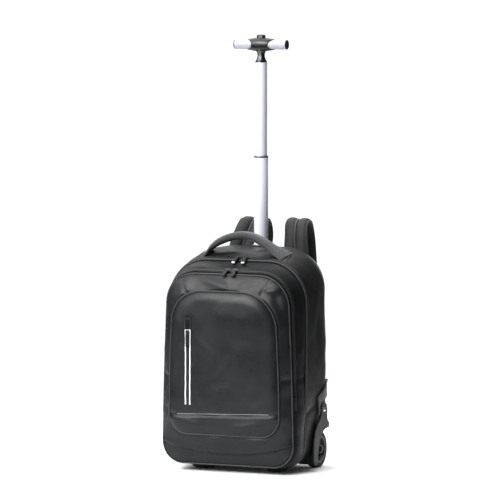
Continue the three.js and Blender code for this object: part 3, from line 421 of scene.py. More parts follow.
def side_solid(name, points, low, high):
    """A closed plate whose outline is given in y and z and which runs from x = low to x = high"""
    bm = bmesh.new()
    face = bm.faces.new([bm.verts.new((low, y, z)) for y, z in points])
    moved = bmesh.ops.extrude_face_region(bm, geom=[face])
    bmesh.ops.translate(bm, vec=(high - low, 0, 0), verts=[v for v in moved["geom"]
                                                            if isinstance(v, bmesh.types.BMVert)])
    bmesh.ops.recalc_face_normals(bm, faces=bm.faces)
    mesh = bpy.data.meshes.new(name)
    bm.to_mesh(mesh)
    bm.free()
    piece = bpy.data.objects.new(name, mesh)
    bpy.context.collection.objects.link(piece)
    return piece


def arc(centre, radius, start, end, steps):
    """Points in y and z on an arc, angles in degrees from +y"""
    return [(centre[0] + radius * math.cos(math.radians(a)), centre[1] + radius * math.sin(math.radians(a)))
            for a in np.linspace(start, end, steps)]


def lathe(name, profile, steps=64, centre=(0, 0, 0), axis="Z"):
    """A turned piece from rows of radius and height that run once round its section"""
    turns = np.linspace(0, 2 * math.pi, steps, endpoint=False)
    rows = []
    for radius, up in profile:
        ring = np.stack([radius * np.cos(turns), radius * np.sin(turns), turns * 0 + up], axis=1)
        rows.append(ring if axis == "Z" else ring[:, [2, 0, 1]])
    piece = skin(name, np.array(rows) + np.array(centre), profile[0][0] > 1e-6)
    if profile[0][0] <= 1e-6:
        bm = bmesh.new()
        bm.from_mesh(piece.data)
        bmesh.ops.remove_doubles(bm, verts=bm.verts, dist=1e-6)
        bm.to_mesh(piece.data)
        bm.free()
    return piece


well_side = [(AXLE_Y - WELL_RADIUS, -0.05), (AXLE_Y - WELL_RADIUS, AXLE_Z)] \
    + arc((AXLE_Y, AXLE_Z), WELL_RADIUS, 180, 90, 20)[1:] + [(AXLE_Y + 0.15, AXLE_Z + WELL_RADIUS),
                                                             (AXLE_Y + 0.15, -0.05)]
for side in (-1, 1):
    ends = (side * WELL_INNER, side * 0.25)
    cut(main_gusset, side_solid("well", well_side, min(ends), max(ends)))
cut(main_gusset, lathe("pole_hole", ((0, 0.3), (0.0179, 0.3), (0.0179, 0.6), (0, 0.6)), centre=(0, POLE_Y, 0)))
dress(main_gusset, shaded_side_cloth, "bag", "gusset_cloth", "main_gusset")


# Walls that close a compartment: the hidden one between the two compartments and the padded back. The back is
# foam under spacer mesh, quilted by three channels so that air can pass.
def panel(name, section, rings, wall, side, offset, relief=None):
    """A panel that closes an outline. rings: size as a share of the outline, and how far it stands out there"""
    rim = outline(section)
    middle = np.array([0, 0, (section[3] + section[4]) / 2 * HEIGHT])
    face = []
    for size, rise in rings:
        ring = (rim - middle) * size + middle
        ring[:, 1] = rim[:, 1] + side * (offset + rise)
        face.append(ring)
    face = np.array(face)
    back = face.copy()
    back[..., 1] -= side * wall
    if relief is not None:
        face[..., 1] += side * relief(face)
        back[..., 1] += side * relief(face)
    piece = skin(name, np.concatenate([face[::-1], back]), False)
    return close_ends(piece)


flat_rings = [(s, 0) for s in np.linspace(0.985, 0.02, 4)]
wall_between = panel("main_front_wall", MAIN_SEAM, flat_rings, WALL, -1, -WALL)
dress(wall_between, shaded_side_cloth, "bag", "coated_cloth", "main_front_wall")


def puff(sizes, rise, edge):
    """Ring table of a stuffed panel: it climbs to `rise` within `edge` of its rim, then stays nearly level"""
    table = []
    for s in sizes:
        climb = (1 - (1 - min(1, (1 - s) / edge)) ** 2.2) ** 0.75
        table.append((s, rise * climb * (0.94 + 0.06 * (1 - s))))
    return table


def quilt(points):
    """Three upright channels and the pad's slack between them"""
    down = -sum(groove(points[..., 0] - x, -0.0042, 0.006) for x in (-0.062, 0.0, 0.062))
    inside = smoothstep((points[..., 2] - 0.10) / 0.04) * smoothstep((0.42 - points[..., 2]) / 0.04)
    return down * inside + 0.0006 * ripple(points, 0.04, 5)


back_rings = puff(np.concatenate([[1, 0.995, 0.985], np.linspace(0.97, 0.02, 44)]), 0.0085, 0.06)
back_panel = panel("back_panel", BACK_SEAM, back_rings, 0.0035, 1, 0.0038, quilt)
# The mesh is full of small open cells, which make the back dull and slightly grainy
spacer_mesh, spacer_tree, spacer_shader = shader("spacer_mesh", "#1b1c1e", 0.85, Sheen_Weight=0.2)
place = node(spacer_tree, "ShaderNodeTexCoord")
holes = node(spacer_tree, "ShaderNodeTexVoronoi", {"Vector": place.outputs["Object"]}, Scale=420.0)
sunk = node(spacer_tree, "ShaderNodeBump", {"Height": holes.outputs["Distance"]}, Strength=0.8, Distance=0.0008)
spacer_tree.links.new(sunk.outputs["Normal"], spacer_shader.inputs["Normal"])
for side in (-1, 1):
    ends = (side * WELL_INNER, side * 0.25)
    cut(back_panel, side_solid("well", well_side, min(ends), max(ends)))
dress(back_panel, spacer_mesh, "bag", "coated_cloth", "back_panel")

# Front compartment: its gusset carries the second zip and bulges a little below the cross seam. The sloping
# surround is sewn from a top band with mitred corners, two sides and a base band that sags between its ends.
front_grid = smooth_rows([outline(s) for s in FRONT_GUSSET], 22)
front_side = smoothstep((np.abs(front_grid[..., 0]) - 0.11) / 0.02)
relief = 0.0015 * ripple(front_grid, 0.05, 3) + 0.0004 * ripple(front_grid, 0.02, 4)
relief += groove(front_grid[..., 2] - SIDE_SEAM, 0.0022, 0.0045) * front_side
relief += 0.0020 * smoothstep((SIDE_SEAM - front_grid[..., 2]) / 0.05) * front_side
relief += creases(front_grid, (
    (at_pole(20, -150, 448), at_pole(110, -165, 430), 0.006, 0.0036),
    (at_pole(-30, -160, 447), at_pole(60, -148, 450), 0.006, -0.0030),
    (at_pole(70, -140, 455), at_pole(135, -160, 395), 0.006, -0.0030),
    (at_pole(-110, -150, 440), at_pole(-60, -165, 443), 0.008, 0.0018),
))
front_gusset = cloth_shell("front_gusset", sew(front_grid, relief, 0.0010, 0.16))
dress(front_gusset, shaded_side_cloth, "bag", "gusset_cloth", "front_gusset")

BASE_MIDDLE, BASE_RISE = 0.042, 0.023


def base_seam(x):
    """Height of the sagging seam over the base band"""
    return BASE_MIDDLE + BASE_RISE * (x / (FRONT_SEAM[1] * WIDTH)) ** 2


surround_grid = smooth_rows([outline(s) for s in SURROUND], 48)
surround_grid[..., 1] -= 0.0022
x, z = surround_grid[..., 0], surround_grid[..., 2]
relief = 0.0020 * ripple(surround_grid, 0.06, 6) + 0.0005 * ripple(surround_grid, 0.02, 7) + 0.0010
# The cloth over the sagging seam stands out and the base band is pulled in, so that the seam lies in shade
over = z - base_seam(x)
relief += 0.0030 * np.tanh(over / 0.0013) * np.exp(-(over / 0.011) ** 2) * smoothstep((0.14 - z) / 0.03)
relief += groove(z - SIDE_SEAM, 0.0016, 0.0045) * smoothstep((np.abs(x) - 0.128) / 0.01)
for start, end in ((at_pole(-108, -184, 415), at_pole(-91, -203, 389)),
                   (at_pole(102, -184, 421), at_pole(84.5, -203, 392))):
    relief += groove(line_distance(surround_grid, start, end), 0.0022, 0.0030)
relief += creases(surround_grid, (
    (at_pole(-60, -190, 420), at_pole(10, -198, 402), 0.009, 0.0030),
    (at_pole(30, -196, 405), at_pole(85, -188, 420), 0.008, -0.0016),
    (at_pole(112, -192, 395), at_pole(140, -188, 330), 0.010, -0.0036),
    (at_pole(90, -196, 400), at_pole(125, -186, 400), 0.006, 0.0030),
    (at_pole(-138, -192, 330), at_pole(-132, -196, 210), 0.008, 0.0014),
    (at_pole(-100, -195, 72), at_pole(-40, -196, 66), 0.007, 0.0020),
    (at_pole(20, -196, 68), at_pole(110, -195, 78), 0.008, 0.0018),
    (at_pole(-60, -194, 60), at_pole(60, -194, 56), 0.006, -0.0016),
))
surround_grid = sew(surround_grid, relief, 0.0008, 0.12)


def below_curve(name, height, low=-0.1):
    """A block in front of the bag whose upper face follows a seam line"""
    xs = np.linspace(-0.25, 0.25, 81)
    bm = bmesh.new()
    ring = [bm.verts.new((x, -0.4, height(x))) for x in xs] + [bm.verts.new((0.25, -0.4, low)),
                                                               bm.verts.new((-0.25, -0.4, low))]
    face = bm.faces.new(ring)
    moved = bmesh.ops.extrude_face_region(bm, geom=[face])["geom"]
    bmesh.ops.translate(bm, vec=(0, 0.6, 0), verts=[v for v in moved if isinstance(v, bmesh.types.BMVert)])
    bmesh.ops.recalc_face_normals(bm, faces=bm.faces)
    mesh = bpy.data.meshes.new(name)
    bm.to_mesh(mesh)
    bm.free()
    block = bpy.data.objects.new(name, mesh)
    bpy.context.collection.objects.link(block)
    return block


SEAM_GAP = 0.00015


def on_grid(grid, start, end, count=14, lift=0.0006):
    """Points on a cloth grid under a straight line seen from the front, with the grid's normals there"""
    normal = grid_normals(grid)
    if ((grid - np.array([0, POLE_Y - 0.07, HEIGHT / 2])) * normal).sum() < 0:
        normal = -normal
    places, ups = grid.reshape(-1, 3), normal.reshape(-1, 3)
    found = []
    for t in np.linspace(0, 1, count):
        aim = np.array(start) * (1 - t) + np.array(end) * t
        away = ((places - aim) ** 2).sum(1)
        near = np.argsort(away)[:4]
        share = 1 / (away[near] + 1e-8)
        share /= share.sum()
        spot, up = share @ places[near], share @ ups[near]
        spot = spot + (aim - spot) - up * ((aim - spot) @ up)
        found.append((spot + up * lift, up))
    return np.array([f[0] for f in found]), np.array([f[1] for f in found])


front_surround = cloth_shell("front_surround", surround_grid)
front_base = cloth_shell("front_base_panel", surround_grid)
cut(front_surround, below_curve("below", lambda x: base_seam(x) + SEAM_GAP))
cut(front_base, below_curve("below", lambda x: base_seam(x) - SEAM_GAP), "INTERSECT")
dress(front_surround, face_cloth, "bag", "coated_cloth", "front_surround")
dress(front_base, face_cloth, "bag", "coated_cloth", "front_base_panel")

# Front pocket: a slightly padded panel, with a low pocket sewn across its foot. A few soft dents run across
# the cloth from the upright zip, and the edge pulls into small puckers at the piping.
LOW_SEAM, LOW_TILT = 0.130, 0.033
PANEL_RISE = 0.009


def low_seam(x):
    return LOW_SEAM + LOW_TILT * x


def pocket_relief(points):
    x, z = points[..., 0], points[..., 2]
    total = 0.0022 * ripple(points, 0.09, 8) + 0.0005 * ripple(points, 0.03, 9)
    total += groove(z - low_seam(x), 0.0028, 0.0030)
    total += 0.0016 * smoothstep((low_seam(x) - z) / 0.008)
    zip_run = smoothstep((z - 0.14) / 0.01) * smoothstep((0.345 - z) / 0.01)
    total += groove(x + 0.082, 0.0012, 0.009) * zip_run
    flat = points * np.array([1, 0, 1]) + np.array([0, POLE_Y - 0.21, 0])
    return total + creases(flat, (
        (at_pole(-70, -210, 300), at_pole(-20, -210, 250), 0.012, 0.0016),
        (at_pole(-115, -210, 330), at_pole(-92, -210, 270), 0.008, -0.0016),
        (at_pole(10, -210, 230), at_pole(60, -210, 290), 0.014, 0.0015),
        (at_pole(70, -210, 150), at_pole(112, -210, 220), 0.012, -0.0018),
        (at_pole(-30, -210, 350), at_pole(90, -210, 330), 0.020, 0.0016),
        (at_pole(-60, -210, 160), at_pole(20, -210, 190), 0.014, 0.0014),
        (at_pole(-100, -210, 112), at_pole(-40, -210, 104), 0.007, 0.0014),
        (at_pole(10, -210, 100), at_pole(90, -210, 112), 0.007, 0.0012),
    ))


pocket_rings = puff(np.concatenate([[1, 0.992, 0.98], np.linspace(0.965, 0.015, 52)]), PANEL_RISE, 0.16)
pocket_offset = 0.0025 + WALL
front_panel = panel("front_panel", POCKET_SEAM, pocket_rings, WALL, -1, pocket_offset, pocket_relief)
low_panel = panel("low_pocket_panel", POCKET_SEAM, pocket_rings, WALL, -1, pocket_offset, pocket_relief)
cut(front_panel, below_curve("below", lambda x: low_seam(x) + SEAM_GAP))
cut(low_panel, below_curve("below", lambda x: low_seam(x) - SEAM_GAP), "INTERSECT")
dress(front_panel, face_cloth, "bag", "coated_cloth", "front_panel")
dress(low_panel, face_cloth, "bag", "coated_cloth", "low_pocket_panel")

# Piping: a cord wrapped in bias tape and caught in each seam, with the tape's fold just catching the light.
black_tape, tape_tree, tape_shader = shader("bias_tape", "#1c1d1f", 0.5, Sheen_Weight=0.15)
place = node(tape_tree, "ShaderNodeTexCoord")
ribs = node(tape_tree, "ShaderNodeTexNoise", {"Vector": place.outputs["Object"]}, Scale=900.0)
ribbed = node(tape_tree, "ShaderNodeBump", {"Height": ribs.outputs["Fac"]}, Strength=0.5, Distance=0.0003)
tape_tree.links.new(ribbed.outputs["Normal"], tape_shader.inputs["Normal"])


def cord_round(name, centre, radius, sides=10):
    """A closed cord along a closed line of points"""
    along = np.roll(centre, -1, 0) - np.roll(centre, 1, 0)
    along /= np.linalg.norm(along, axis=1, keepdims=True)
    out = np.cross(along, np.array([0, 1.0, 0]))
    out /= np.linalg.norm(out, axis=1, keepdims=True)
    up = np.cross(along, out)
    turns = np.linspace(0, 2 * math.pi, sides, endpoint=False)
    return skin(name, [centre + radius * (math.cos(a) * out + math.sin(a) * up) for a in turns], True)


def seam_line(section, out, forward):
    """The seam's own line, moved out from the bag's middle and forward by so many metres"""
    line = outline(section)
    along = np.roll(line, -1, 0) - np.roll(line, 1, 0)
    normal = np.stack([along[:, 2], along[:, 0] * 0, -along[:, 0]], axis=1)
    normal /= np.linalg.norm(normal, axis=1, keepdims=True)
    normal *= np.sign(((line - [0, 0, HEIGHT / 2]) * normal).sum())
    return line + normal * out - np.array([0, forward, 0])


PIPING = (
    # node, seam, out, forward, radius
    ("piping_pocket", POCKET_SEAM, 0.0008, 0.0052, 0.0014),
    ("piping_front", FRONT_SEAM, 0.0006, 0.0022, 0.0015),
    ("piping_main", MAIN_SEAM, 0.0010, 0.0, 0.0016),
    ("piping_back", BACK_SEAM, 0.0014, -0.0014, 0.0018),
)
for name, section, out, forward, radius in PIPING:
    piping = cord_round(name, seam_line(section, out, forward), radius)
    dress(piping, black_tape, "bag", "black_trim", name)

# Zips of the two compartments: a woven tape along the gusset with a nylon coil down its middle.


def strip(name, centre, across, up, wide, thick, ends=True):
    """A flat band along a line of points, with the way across it and up from it given for each point"""
    corners = [(-0.5, 0), (0.5, 0), (0.5, 1), (-0.5, 1)]
    rows = np.array([centre + across * a * wide + up * b * thick for a, b in corners]).transpose(1, 0, 2)
    piece = skin(name, rows, False)
    return close_ends(piece) if ends else piece


def zip_path(rows, row, first, last):
    """A zip's line on a cloth grid, with the ways across and up"""
    normal = grid_normals(rows)
    if ((rows - np.array([0, POLE_Y - 0.07, HEIGHT / 2])) * normal).sum() < 0:
        normal = -normal
    k = int(row)
    t = row - k
    line = rows[k] * (1 - t) + rows[k + 1] * t
    up = normal[k]
    across = np.cross(up, np.gradient(line, axis=0))
    across /= np.linalg.norm(across, axis=1, keepdims=True)
    return line[first:last], across[first:last], up[first:last]


def coil(name, line, across, up, pitch, wide, tall):
    """A zip's coil, drawn as one small bar for each tooth. Real teeth are 1.3 mm apart; here 2.2 mm"""
    steps = np.linalg.norm(np.diff(line, axis=0), axis=1)
    run = np.concatenate([[0], np.cumsum(steps)])
    spots = np.arange(pitch, run[-1] - pitch, pitch)
    at = np.stack([np.interp(spots, run, line[:, i]) for i in range(3)], axis=1)
    side = np.stack([np.interp(spots, run, across[:, i]) for i in range(3)], axis=1)
    top = np.stack([np.interp(spots, run, up[:, i]) for i in range(3)], axis=1)
    ahead = np.cross(side, top)
    verts, faces = [], []
    for p, s, u, a in zip(at, side, top, ahead):
        k = len(verts)
        for i, j, h in ((-1, -1, 0), (1, -1, 0), (1, 1, 0), (-1, 1, 0), (-0.8, -0.6, 1), (0.8, -0.6, 1),
                        (0.8, 0.6, 1), (-0.8, 0.6, 1)):
            verts.append(tuple(p + s * i * wide / 2 + a * j * pitch * 0.36 + u * h * tall))
        faces += [tuple(k + v for v in f) for f in ((0, 3, 2, 1), (4, 5, 6, 7), (0, 1, 5, 4), (1, 2, 6, 5),
                                                     (2, 3, 7, 6), (3, 0, 4, 7))]
    mesh = bpy.data.meshes.new(name)
    mesh.from_pydata(verts, [], faces)
    piece = bpy.data.objects.new(name, mesh)
    bpy.context.collection.objects.link(piece)
    return piece


# The coil is smooth nylon and glints tooth by tooth; its tape is a dull weave
coil_nylon, _, _ = shader("nylon_coil", "#121214", 0.35)
zip_weave, _, _ = shader("zip_tape", "#151517", 0.75, Sheen_Weight=0.1)
FIRST, LAST = 42, 256 - 41
zip_lines = {}
for name, grid, place_on in (("main", main_grid, 1.9), ("front", front_grid, 17.4)):
    line, across, up = zip_lines[name] = zip_path(grid, place_on, FIRST, LAST)
    tape = strip(name, line + up * 0.0003, across, up, 0.007, 0.0011)
    dress(tape, zip_weave, "bag", "zip", "zip_" + name)
    teeth = coil("coil", line + up * 0.0013, across, up, 0.0022, 0.0042, 0.0012)
    dress(teeth, coil_nylon, "bag", "zip")

# Sliders and pulls: small cast bodies, painted black, with a bridge over their middle. Each moulded pull hangs
# forward from its bridge; those of the main zip end in a pale tip.
# Stoved paint gives the cast bodies small hard highlights, and the moulded pulls stay dull
painted_metal, _, _ = shader("painted_casting", "#0b0b0d", 0.35, Coat_Weight=0.2)
moulded_pull, _, _ = shader("moulded_pull", "#08080a", 0.55, Specular_IOR_Level=0.25)
pale_tip, _, _ = shader("moulded_pull_tip", "#d8dade", 0.4)


def slab(name, outline_points, thick, bevel, frame_matrix):
    """A plate with rounded edges: its outline in x and y, its thickness up z, then placed by a matrix"""
    bm = bmesh.new()
    face = bm.faces.new([bm.verts.new((x, y, 0)) for x, y in outline_points])
    moved = bmesh.ops.extrude_face_region(bm, geom=[face])["geom"]
    bmesh.ops.translate(bm, vec=(0, 0, thick), verts=[v for v in moved if isinstance(v, bmesh.types.BMVert)])
    bmesh.ops.recalc_face_normals(bm, faces=bm.faces)
    rims = [e for e in bm.edges if len(e.link_faces) == 2 and e.calc_face_angle(0) > 0.9]
    bmesh.ops.bevel(bm, geom=rims, offset=bevel, segments=3, affect="EDGES", clamp_overlap=True)
    bm.transform(frame_matrix)
    mesh = bpy.data.meshes.new(name)
    bm.to_mesh(mesh)
    bm.free()
    piece = bpy.data.objects.new(name, mesh)
    bpy.context.collection.objects.link(piece)
    return piece


def rounded(wide, long, radius, shift=0.0, steps=5):
    """A rounded rectangle's points, centred in x and starting at y = shift"""
    points = []
    right, far, near = wide / 2 - radius, shift + long - radius, shift + radius
    for cx, cy, start in ((right, far, 0), (-right, far, 90), (-right, near, 180), (right, near, 270)):
        for a in np.linspace(start, start + 90, steps):
            points.append((cx + radius * math.cos(math.radians(a)), cy + radius * math.sin(math.radians(a))))
    return points


def placed(at, ahead, up):
    """A matrix whose y runs ahead and whose z runs up"""
    ahead = Vector(ahead).normalized()
    up = Vector(up)
    up = (up - ahead * up.dot(ahead)).normalized()
    turn = Matrix((ahead.cross(up), ahead, up)).transposed().to_4x4()
    turn.translation = Vector(at)
    return turn


for zip_name, middle in (("main", 0.011), ("front", 0.005)):
    line, across, up = zip_lines[zip_name]
    for side_name, side in (("left", -1), ("right", 1)):
        x = middle + side * 0.0090
        k = int(np.argmin(np.abs(line[:, 0] - x)))
        spot, lift = line[k], up[k]
        ahead = np.array([side * 1.0, 0, 0])
        body = placed(spot + lift * 0.0012, ahead, lift)
        slider = slab("slider", rounded(0.0105, 0.013, 0.0036, -0.0065), 0.0038, 0.0010, body)
        dress(slider, painted_metal, "bag", "slider", f"zip_slider_{zip_name}_{side_name}")
        bridge = slab("bridge", rounded(0.0026, 0.0085, 0.0012, -0.0045), 0.0018, 0.0006,
                      placed(spot + lift * 0.0046, ahead, lift))
        dress(bridge, painted_metal, "bag", "slider")
        hang = np.array([side * 0.12, -1.0, -0.75])
        along = hang - lift * (hang @ lift) * 0.72
        start = spot + lift * 0.0050
        pull = slab("pull", rounded(0.0090, 0.0225, 0.0028), 0.0028, 0.0008, placed(start, along, lift))
        dress(pull, moulded_pull, "bag", "pull", f"zip_pull_{zip_name}_{side_name}")
        if zip_name == "main":
            away = Vector(along).normalized()
            tip = slab("tip", rounded(0.0080, 0.0034, 0.0014), 0.0030, 0.0007,
                       placed(Vector(start) + away * 0.0214, along, lift))
            dress(tip, pale_tip, "bag", "pull")

# Upright pocket zip: a black coil between two strips of reflective tape, under a stitched garage at its top.
# Its slider hangs just below the garage with a long moulded pull.
ZIP_X, ZIP_FOOT, ZIP_TOP = -0.082, 0.149, 0.311
panel_tree = BVHTree.FromObject(front_panel, bpy.context.evaluated_depsgraph_get())


def on_panel(x, z, lift):
    """The point on the front panel's face at x and z, held `lift` in front of it"""
    hit = panel_tree.ray_cast(Vector((x, -0.5, z)), Vector((0, 1, 0)))[0]
    return np.array([x, hit.y - lift, z])


def panel_strip(name, x, low, high, wide, thick, lift, wave=0.0, count=60):
    """A flat strip laid down the front panel, with square edges and slightly rolled corners"""
    rows = []
    for z in np.linspace(low, high, count):
        shift = wave * math.sin(z * 190 + x * 900) + wave * 0.6 * math.sin(z * 71)
        middle = on_panel(x + shift, z, lift)
        rows.append([middle + np.array([a * wide / 2, -b * thick, 0])
                     for a, b in ((-1, 0), (-0.96, 0.8), (-0.7, 1), (0.7, 1), (0.96, 0.8), (1, 0))])
    return close_ends(skin(name, np.array(rows), False))


# Glass-bead tape looks pale and a little metallic
reflective, _, _ = shader("reflective_tape", "#e9edf0", 0.3, 0.15)
tape_left = panel_strip("tape", ZIP_X - 0.0052, ZIP_FOOT, ZIP_TOP, 0.0026, 0.0008, 0.0003, 0.00018)
dress(tape_left, reflective, "bag", "reflective_tape", "reflective_tape_left")
tape_right = panel_strip("tape", ZIP_X + 0.0052, ZIP_FOOT, ZIP_TOP, 0.0026, 0.0008, 0.0003, 0.00018)
dress(tape_right, reflective, "bag", "reflective_tape", "reflective_tape_right")
zip_bed = panel_strip("zip_bed", ZIP_X, ZIP_FOOT, ZIP_TOP, 0.0062, 0.0006, 0.0002)
dress(zip_bed, zip_weave, "bag", "zip", "zip_pocket")
spots = np.array([on_panel(ZIP_X, z, 0.0008) for z in np.linspace(ZIP_FOOT, ZIP_TOP, 40)])
rightward, forward = np.tile([1.0, 0, 0], (40, 1)), np.tile([0, -1.0, 0], (40, 1))
pocket_coil = coil("zip_pocket_coil", spots, rightward, forward, 0.0022, 0.0036, 0.0010)
dress(pocket_coil, coil_nylon, "bag", "zip")
# The garage wears the darker side copy of the cloth, painted shade that keeps it dark over the zip.
garage = panel_strip("garage", ZIP_X, ZIP_TOP + 0.0016, ZIP_TOP + 0.026, 0.0150, 0.0012, 0.0003)
dress(garage, shaded_side_cloth, "bag", "zip", "zip_garage")
tape_head = panel_strip("tape_head", ZIP_X, ZIP_TOP, ZIP_TOP + 0.0014, 0.0130, 0.0009, 0.0003, count=4)
dress(tape_head, reflective, "bag", "reflective_tape")
# The thread's mid grey is partly painted highlight: on the mitred seams its stitches stand for the glint along
# each seam.
grey_thread_and_glint, _, _ = shader("bonded_thread_and_glint", "#6a6b6e", 0.6)


def stitches(name, line, up, pitch=0.0034, radius=0.00035, share=0.62):
    """A run of stitches: one short bar of thread for each, sunk a little at both ends"""
    steps = np.linalg.norm(np.diff(line, axis=0), axis=1)
    run = np.concatenate([[0], np.cumsum(steps)])
    verts, faces = [], []
    for start in np.arange(pitch / 2, run[-1] - pitch, pitch):
        ends = []
        for s in (start, start + pitch * share / 2, start + pitch * share):
            ends.append((np.array([np.interp(s, run, line[:, i]) for i in range(3)]),
                         np.array([np.interp(s, run, up[:, i]) for i in range(3)])))
        along = ends[2][0] - ends[0][0]
        along /= np.linalg.norm(along)
        side = np.cross(along, ends[1][1])
        side /= np.linalg.norm(side)
        k = len(verts)
        for (p, u), rise in zip(ends, (-0.4, 1.0, -0.4)):
            for a, b in ((-1, 0), (0, 1), (1, 0), (0, -1)):
                verts.append(tuple(p + side * a * radius + u * (b + rise) * radius))
        for r in (0, 4):
            for i in range(4):
                j = (i + 1) % 4
                faces.append((k + r + i, k + r + j, k + r + 4 + j, k + r + 4 + i))
        faces += [(k + 3, k + 2, k + 1, k), (k + 8, k + 9, k + 10, k + 11)]
    mesh = bpy.data.meshes.new(name)
    mesh.from_pydata(verts, [], faces)
    piece = bpy.data.objects.new(name, mesh)
    bpy.context.collection.objects.link(piece)
    return piece


def panel_stitches(name, points):
    """Stitches along a run of x and z points on the front panel"""
    fine = []
    for (x0, z0), (x1, z1) in zip(points, points[1:]):
        fine += [(x0 + (x1 - x0) * t, z0 + (z1 - z0) * t) for t in np.linspace(0, 1, 24, endpoint=False)]
    line = np.array([on_panel(x, z, 0.0016) for x, z in fine + [points[-1]]])
    return stitches(name, line, np.tile([0, -1.0, 0], (len(line), 1)))


# Stitches on the mitred seams; their grey is partly a painted highlight for the glint on the seam.
SEWN_LINES = (
    # cloth, start, end
    (surround_grid, at_pole(-107, -184, 417), at_pole(-90, -204, 389)),
    (surround_grid, at_pole(103.5, -184, 423), at_pole(84, -204, 392)),
    (main_grid, at_pole(-107, -133, 452), at_pole(-103, -62, 480)),
    (main_grid, at_pole(107, -133, 452), at_pole(103, -62, 480)),
)
for cloth, start, end in SEWN_LINES:
    line, up = on_grid(cloth, start, end, lift=0.0008)
    dress(stitches("seam_stitches", line, up, 0.0030, 0.00055, 0.8), grey_thread_and_glint, "bag", "coated_cloth")
left, right, foot, top = ZIP_X - 0.0061, ZIP_X + 0.0061, ZIP_TOP + 0.002, ZIP_TOP + 0.0245
box_stitch = panel_stitches("garage_stitches", [(left, foot), (left, top), (right, top), (right, foot)])
dress(box_stitch, grey_thread_and_glint, "bag", "zip")
slider_at = on_panel(ZIP_X, ZIP_TOP - 0.0105, 0.0014)
slider = slab("pocket_slider", rounded(0.0085, 0.0110, 0.0030), 0.0034, 0.0009,
              placed(slider_at, (0, 0, 1), (0, -1, 0)))
dress(slider, painted_metal, "bag", "slider", "pocket_slider")
pull_at = on_panel(ZIP_X, ZIP_TOP - 0.0085, 0.0042)
pull = slab("pocket_pull", rounded(0.0066, 0.0290, 0.0024), 0.0026, 0.0008,
            placed(pull_at, (0, 0.01, -1), (0, -1, 0)))
dress(pull, moulded_pull, "bag", "pull", "pocket_pull")

# Low pocket's trim: a narrow folded edge of tape under its seam. Its mid grey is a painted highlight, the light
# that its fold catches.
trim_tape_highlight, _, _ = shader("folded_trim_painted_highlight", "#6b6d70", 0.35)
EDGE_FOLD = ((0, -0.0010), (0.0010, -0.0008), (0.0013, 0.0), (0.0010, 0.0008), (0, 0.0010))
rows = []
for x in np.linspace(-0.108, 0.108, 70):
    z = low_seam(x) + 0.0012
    rows.append([on_panel(x, z + b, 0.0002 + a) for a, b in EDGE_FOLD])
trim = close_ends(skin("low_pocket_trim", np.array(rows), False))
dress(trim, trim_tape_highlight, "bag", "black_trim", "low_pocket_trim")

# Carry handle: ribbed webbing folded round foam and closed by one seam, its flat ends caught in the slanted
# crown seams.
RIB = 0.0016
ribbed_webbing, ribbed_tree, ribbed_shader = shader("ribbed_webbing", "#222325", 0.62, Sheen_Weight=0.25,
                                                    Sheen_Roughness=0.4)
place = node(ribbed_tree, "ShaderNodeTexCoord")
ribs = node(ribbed_tree, "ShaderNodeTexWave", {"Vector": place.outputs["UV"]}, bands_direction="Y",
            Scale=0.31416 / RIB)
cords = node(ribbed_tree, "ShaderNodeTexWave", {"Vector": place.outputs["UV"]}, Scale=0.31416 / 0.0024)
both = node(ribbed_tree, "ShaderNodeMath", {0: ribs.outputs["Fac"], 1: cords.outputs["Fac"]}, operation="ADD")
woven = node(ribbed_tree, "ShaderNodeBump", {"Height": both.outputs[0]}, Strength=0.6, Distance=0.0004)
ribbed_tree.links.new(woven.outputs["Normal"], ribbed_shader.inputs["Normal"])


def band(name, rows, section, count, turns=None):
    """Sweeps a section along rows of place, across direction, width and thickness. Section points are shares of
    half the width and half the thickness"""
    rows = smooth_rows(rows, count)
    at, across, wide, thick = rows[:, :3], rows[:, 3:6], rows[:, 6:7] / 2, rows[:, 7:8] / 2
    along = np.gradient(at, axis=0)
    along /= np.linalg.norm(along, axis=1, keepdims=True)
    across = across - along * (across * along).sum(1, keepdims=True)
    across /= np.linalg.norm(across, axis=1, keepdims=True)
    up = np.cross(along, across)
    rings = [at + across * a * wide + up * b * thick for a, b in section]
    piece = close_ends(skin(name, np.array(rings).transpose(1, 0, 2), False))
    return piece, at, across, up


def row(x, y, z, across, wide, thick):
    """One row of a band, given in millimetres from the pole's axis"""
    return (*at_pole(x, y, z), *across, wide / 1000, thick / 1000)


handle_rows = (
    row(-86, -101, 460, (0, 0.94, 0.34), 46, 3),
    row(-83, -100, 470, (0, 0.95, 0.30), 44, 6),
    row(-73, -97, 485, (0, 0.98, 0.20), 37, 12),
    row(-53, -95, 498, (0, 1, 0.1), 32, 16),
    row(-28, -94, 507, (0, 1, 0), 30, 17),
    row(-4, -94, 511, (0, 1, 0), 30, 17),
    row(20, -94, 508, (0, 1, 0), 30, 17),
    row(46, -95, 497, (0, 1, 0.1), 32, 16),
    row(68, -96, 484, (0, 0.98, 0.2), 37, 13),
    row(88, -98, 474, (0, 0.95, 0.3), 45, 7),
    row(101, -99, 467, (0, 0.94, 0.34), 50, 3),
)
fold = []
for a in np.linspace(0, 2 * math.pi, 40, endpoint=False):
    c, w = math.cos(a), math.sin(a)
    fold.append((math.copysign(abs(c) ** 0.75, c), math.copysign(abs(w) ** 0.75, w)))
handle, at, across, up = band("carry_handle", handle_rows, fold, 90)
dress(handle, ribbed_webbing, "bag", "webbing", "carry_handle")
toward_front = across * -np.sign(across[:, 1:2])
skyward = up * np.sign(up[:, 2:3])
closing_line = at + toward_front * 0.0135 + skyward * 0.0078
closing = stitches("handle_stitches", closing_line[10:-10], skyward[10:-10])
dress(closing, grey_thread_and_glint, "bag", "webbing")

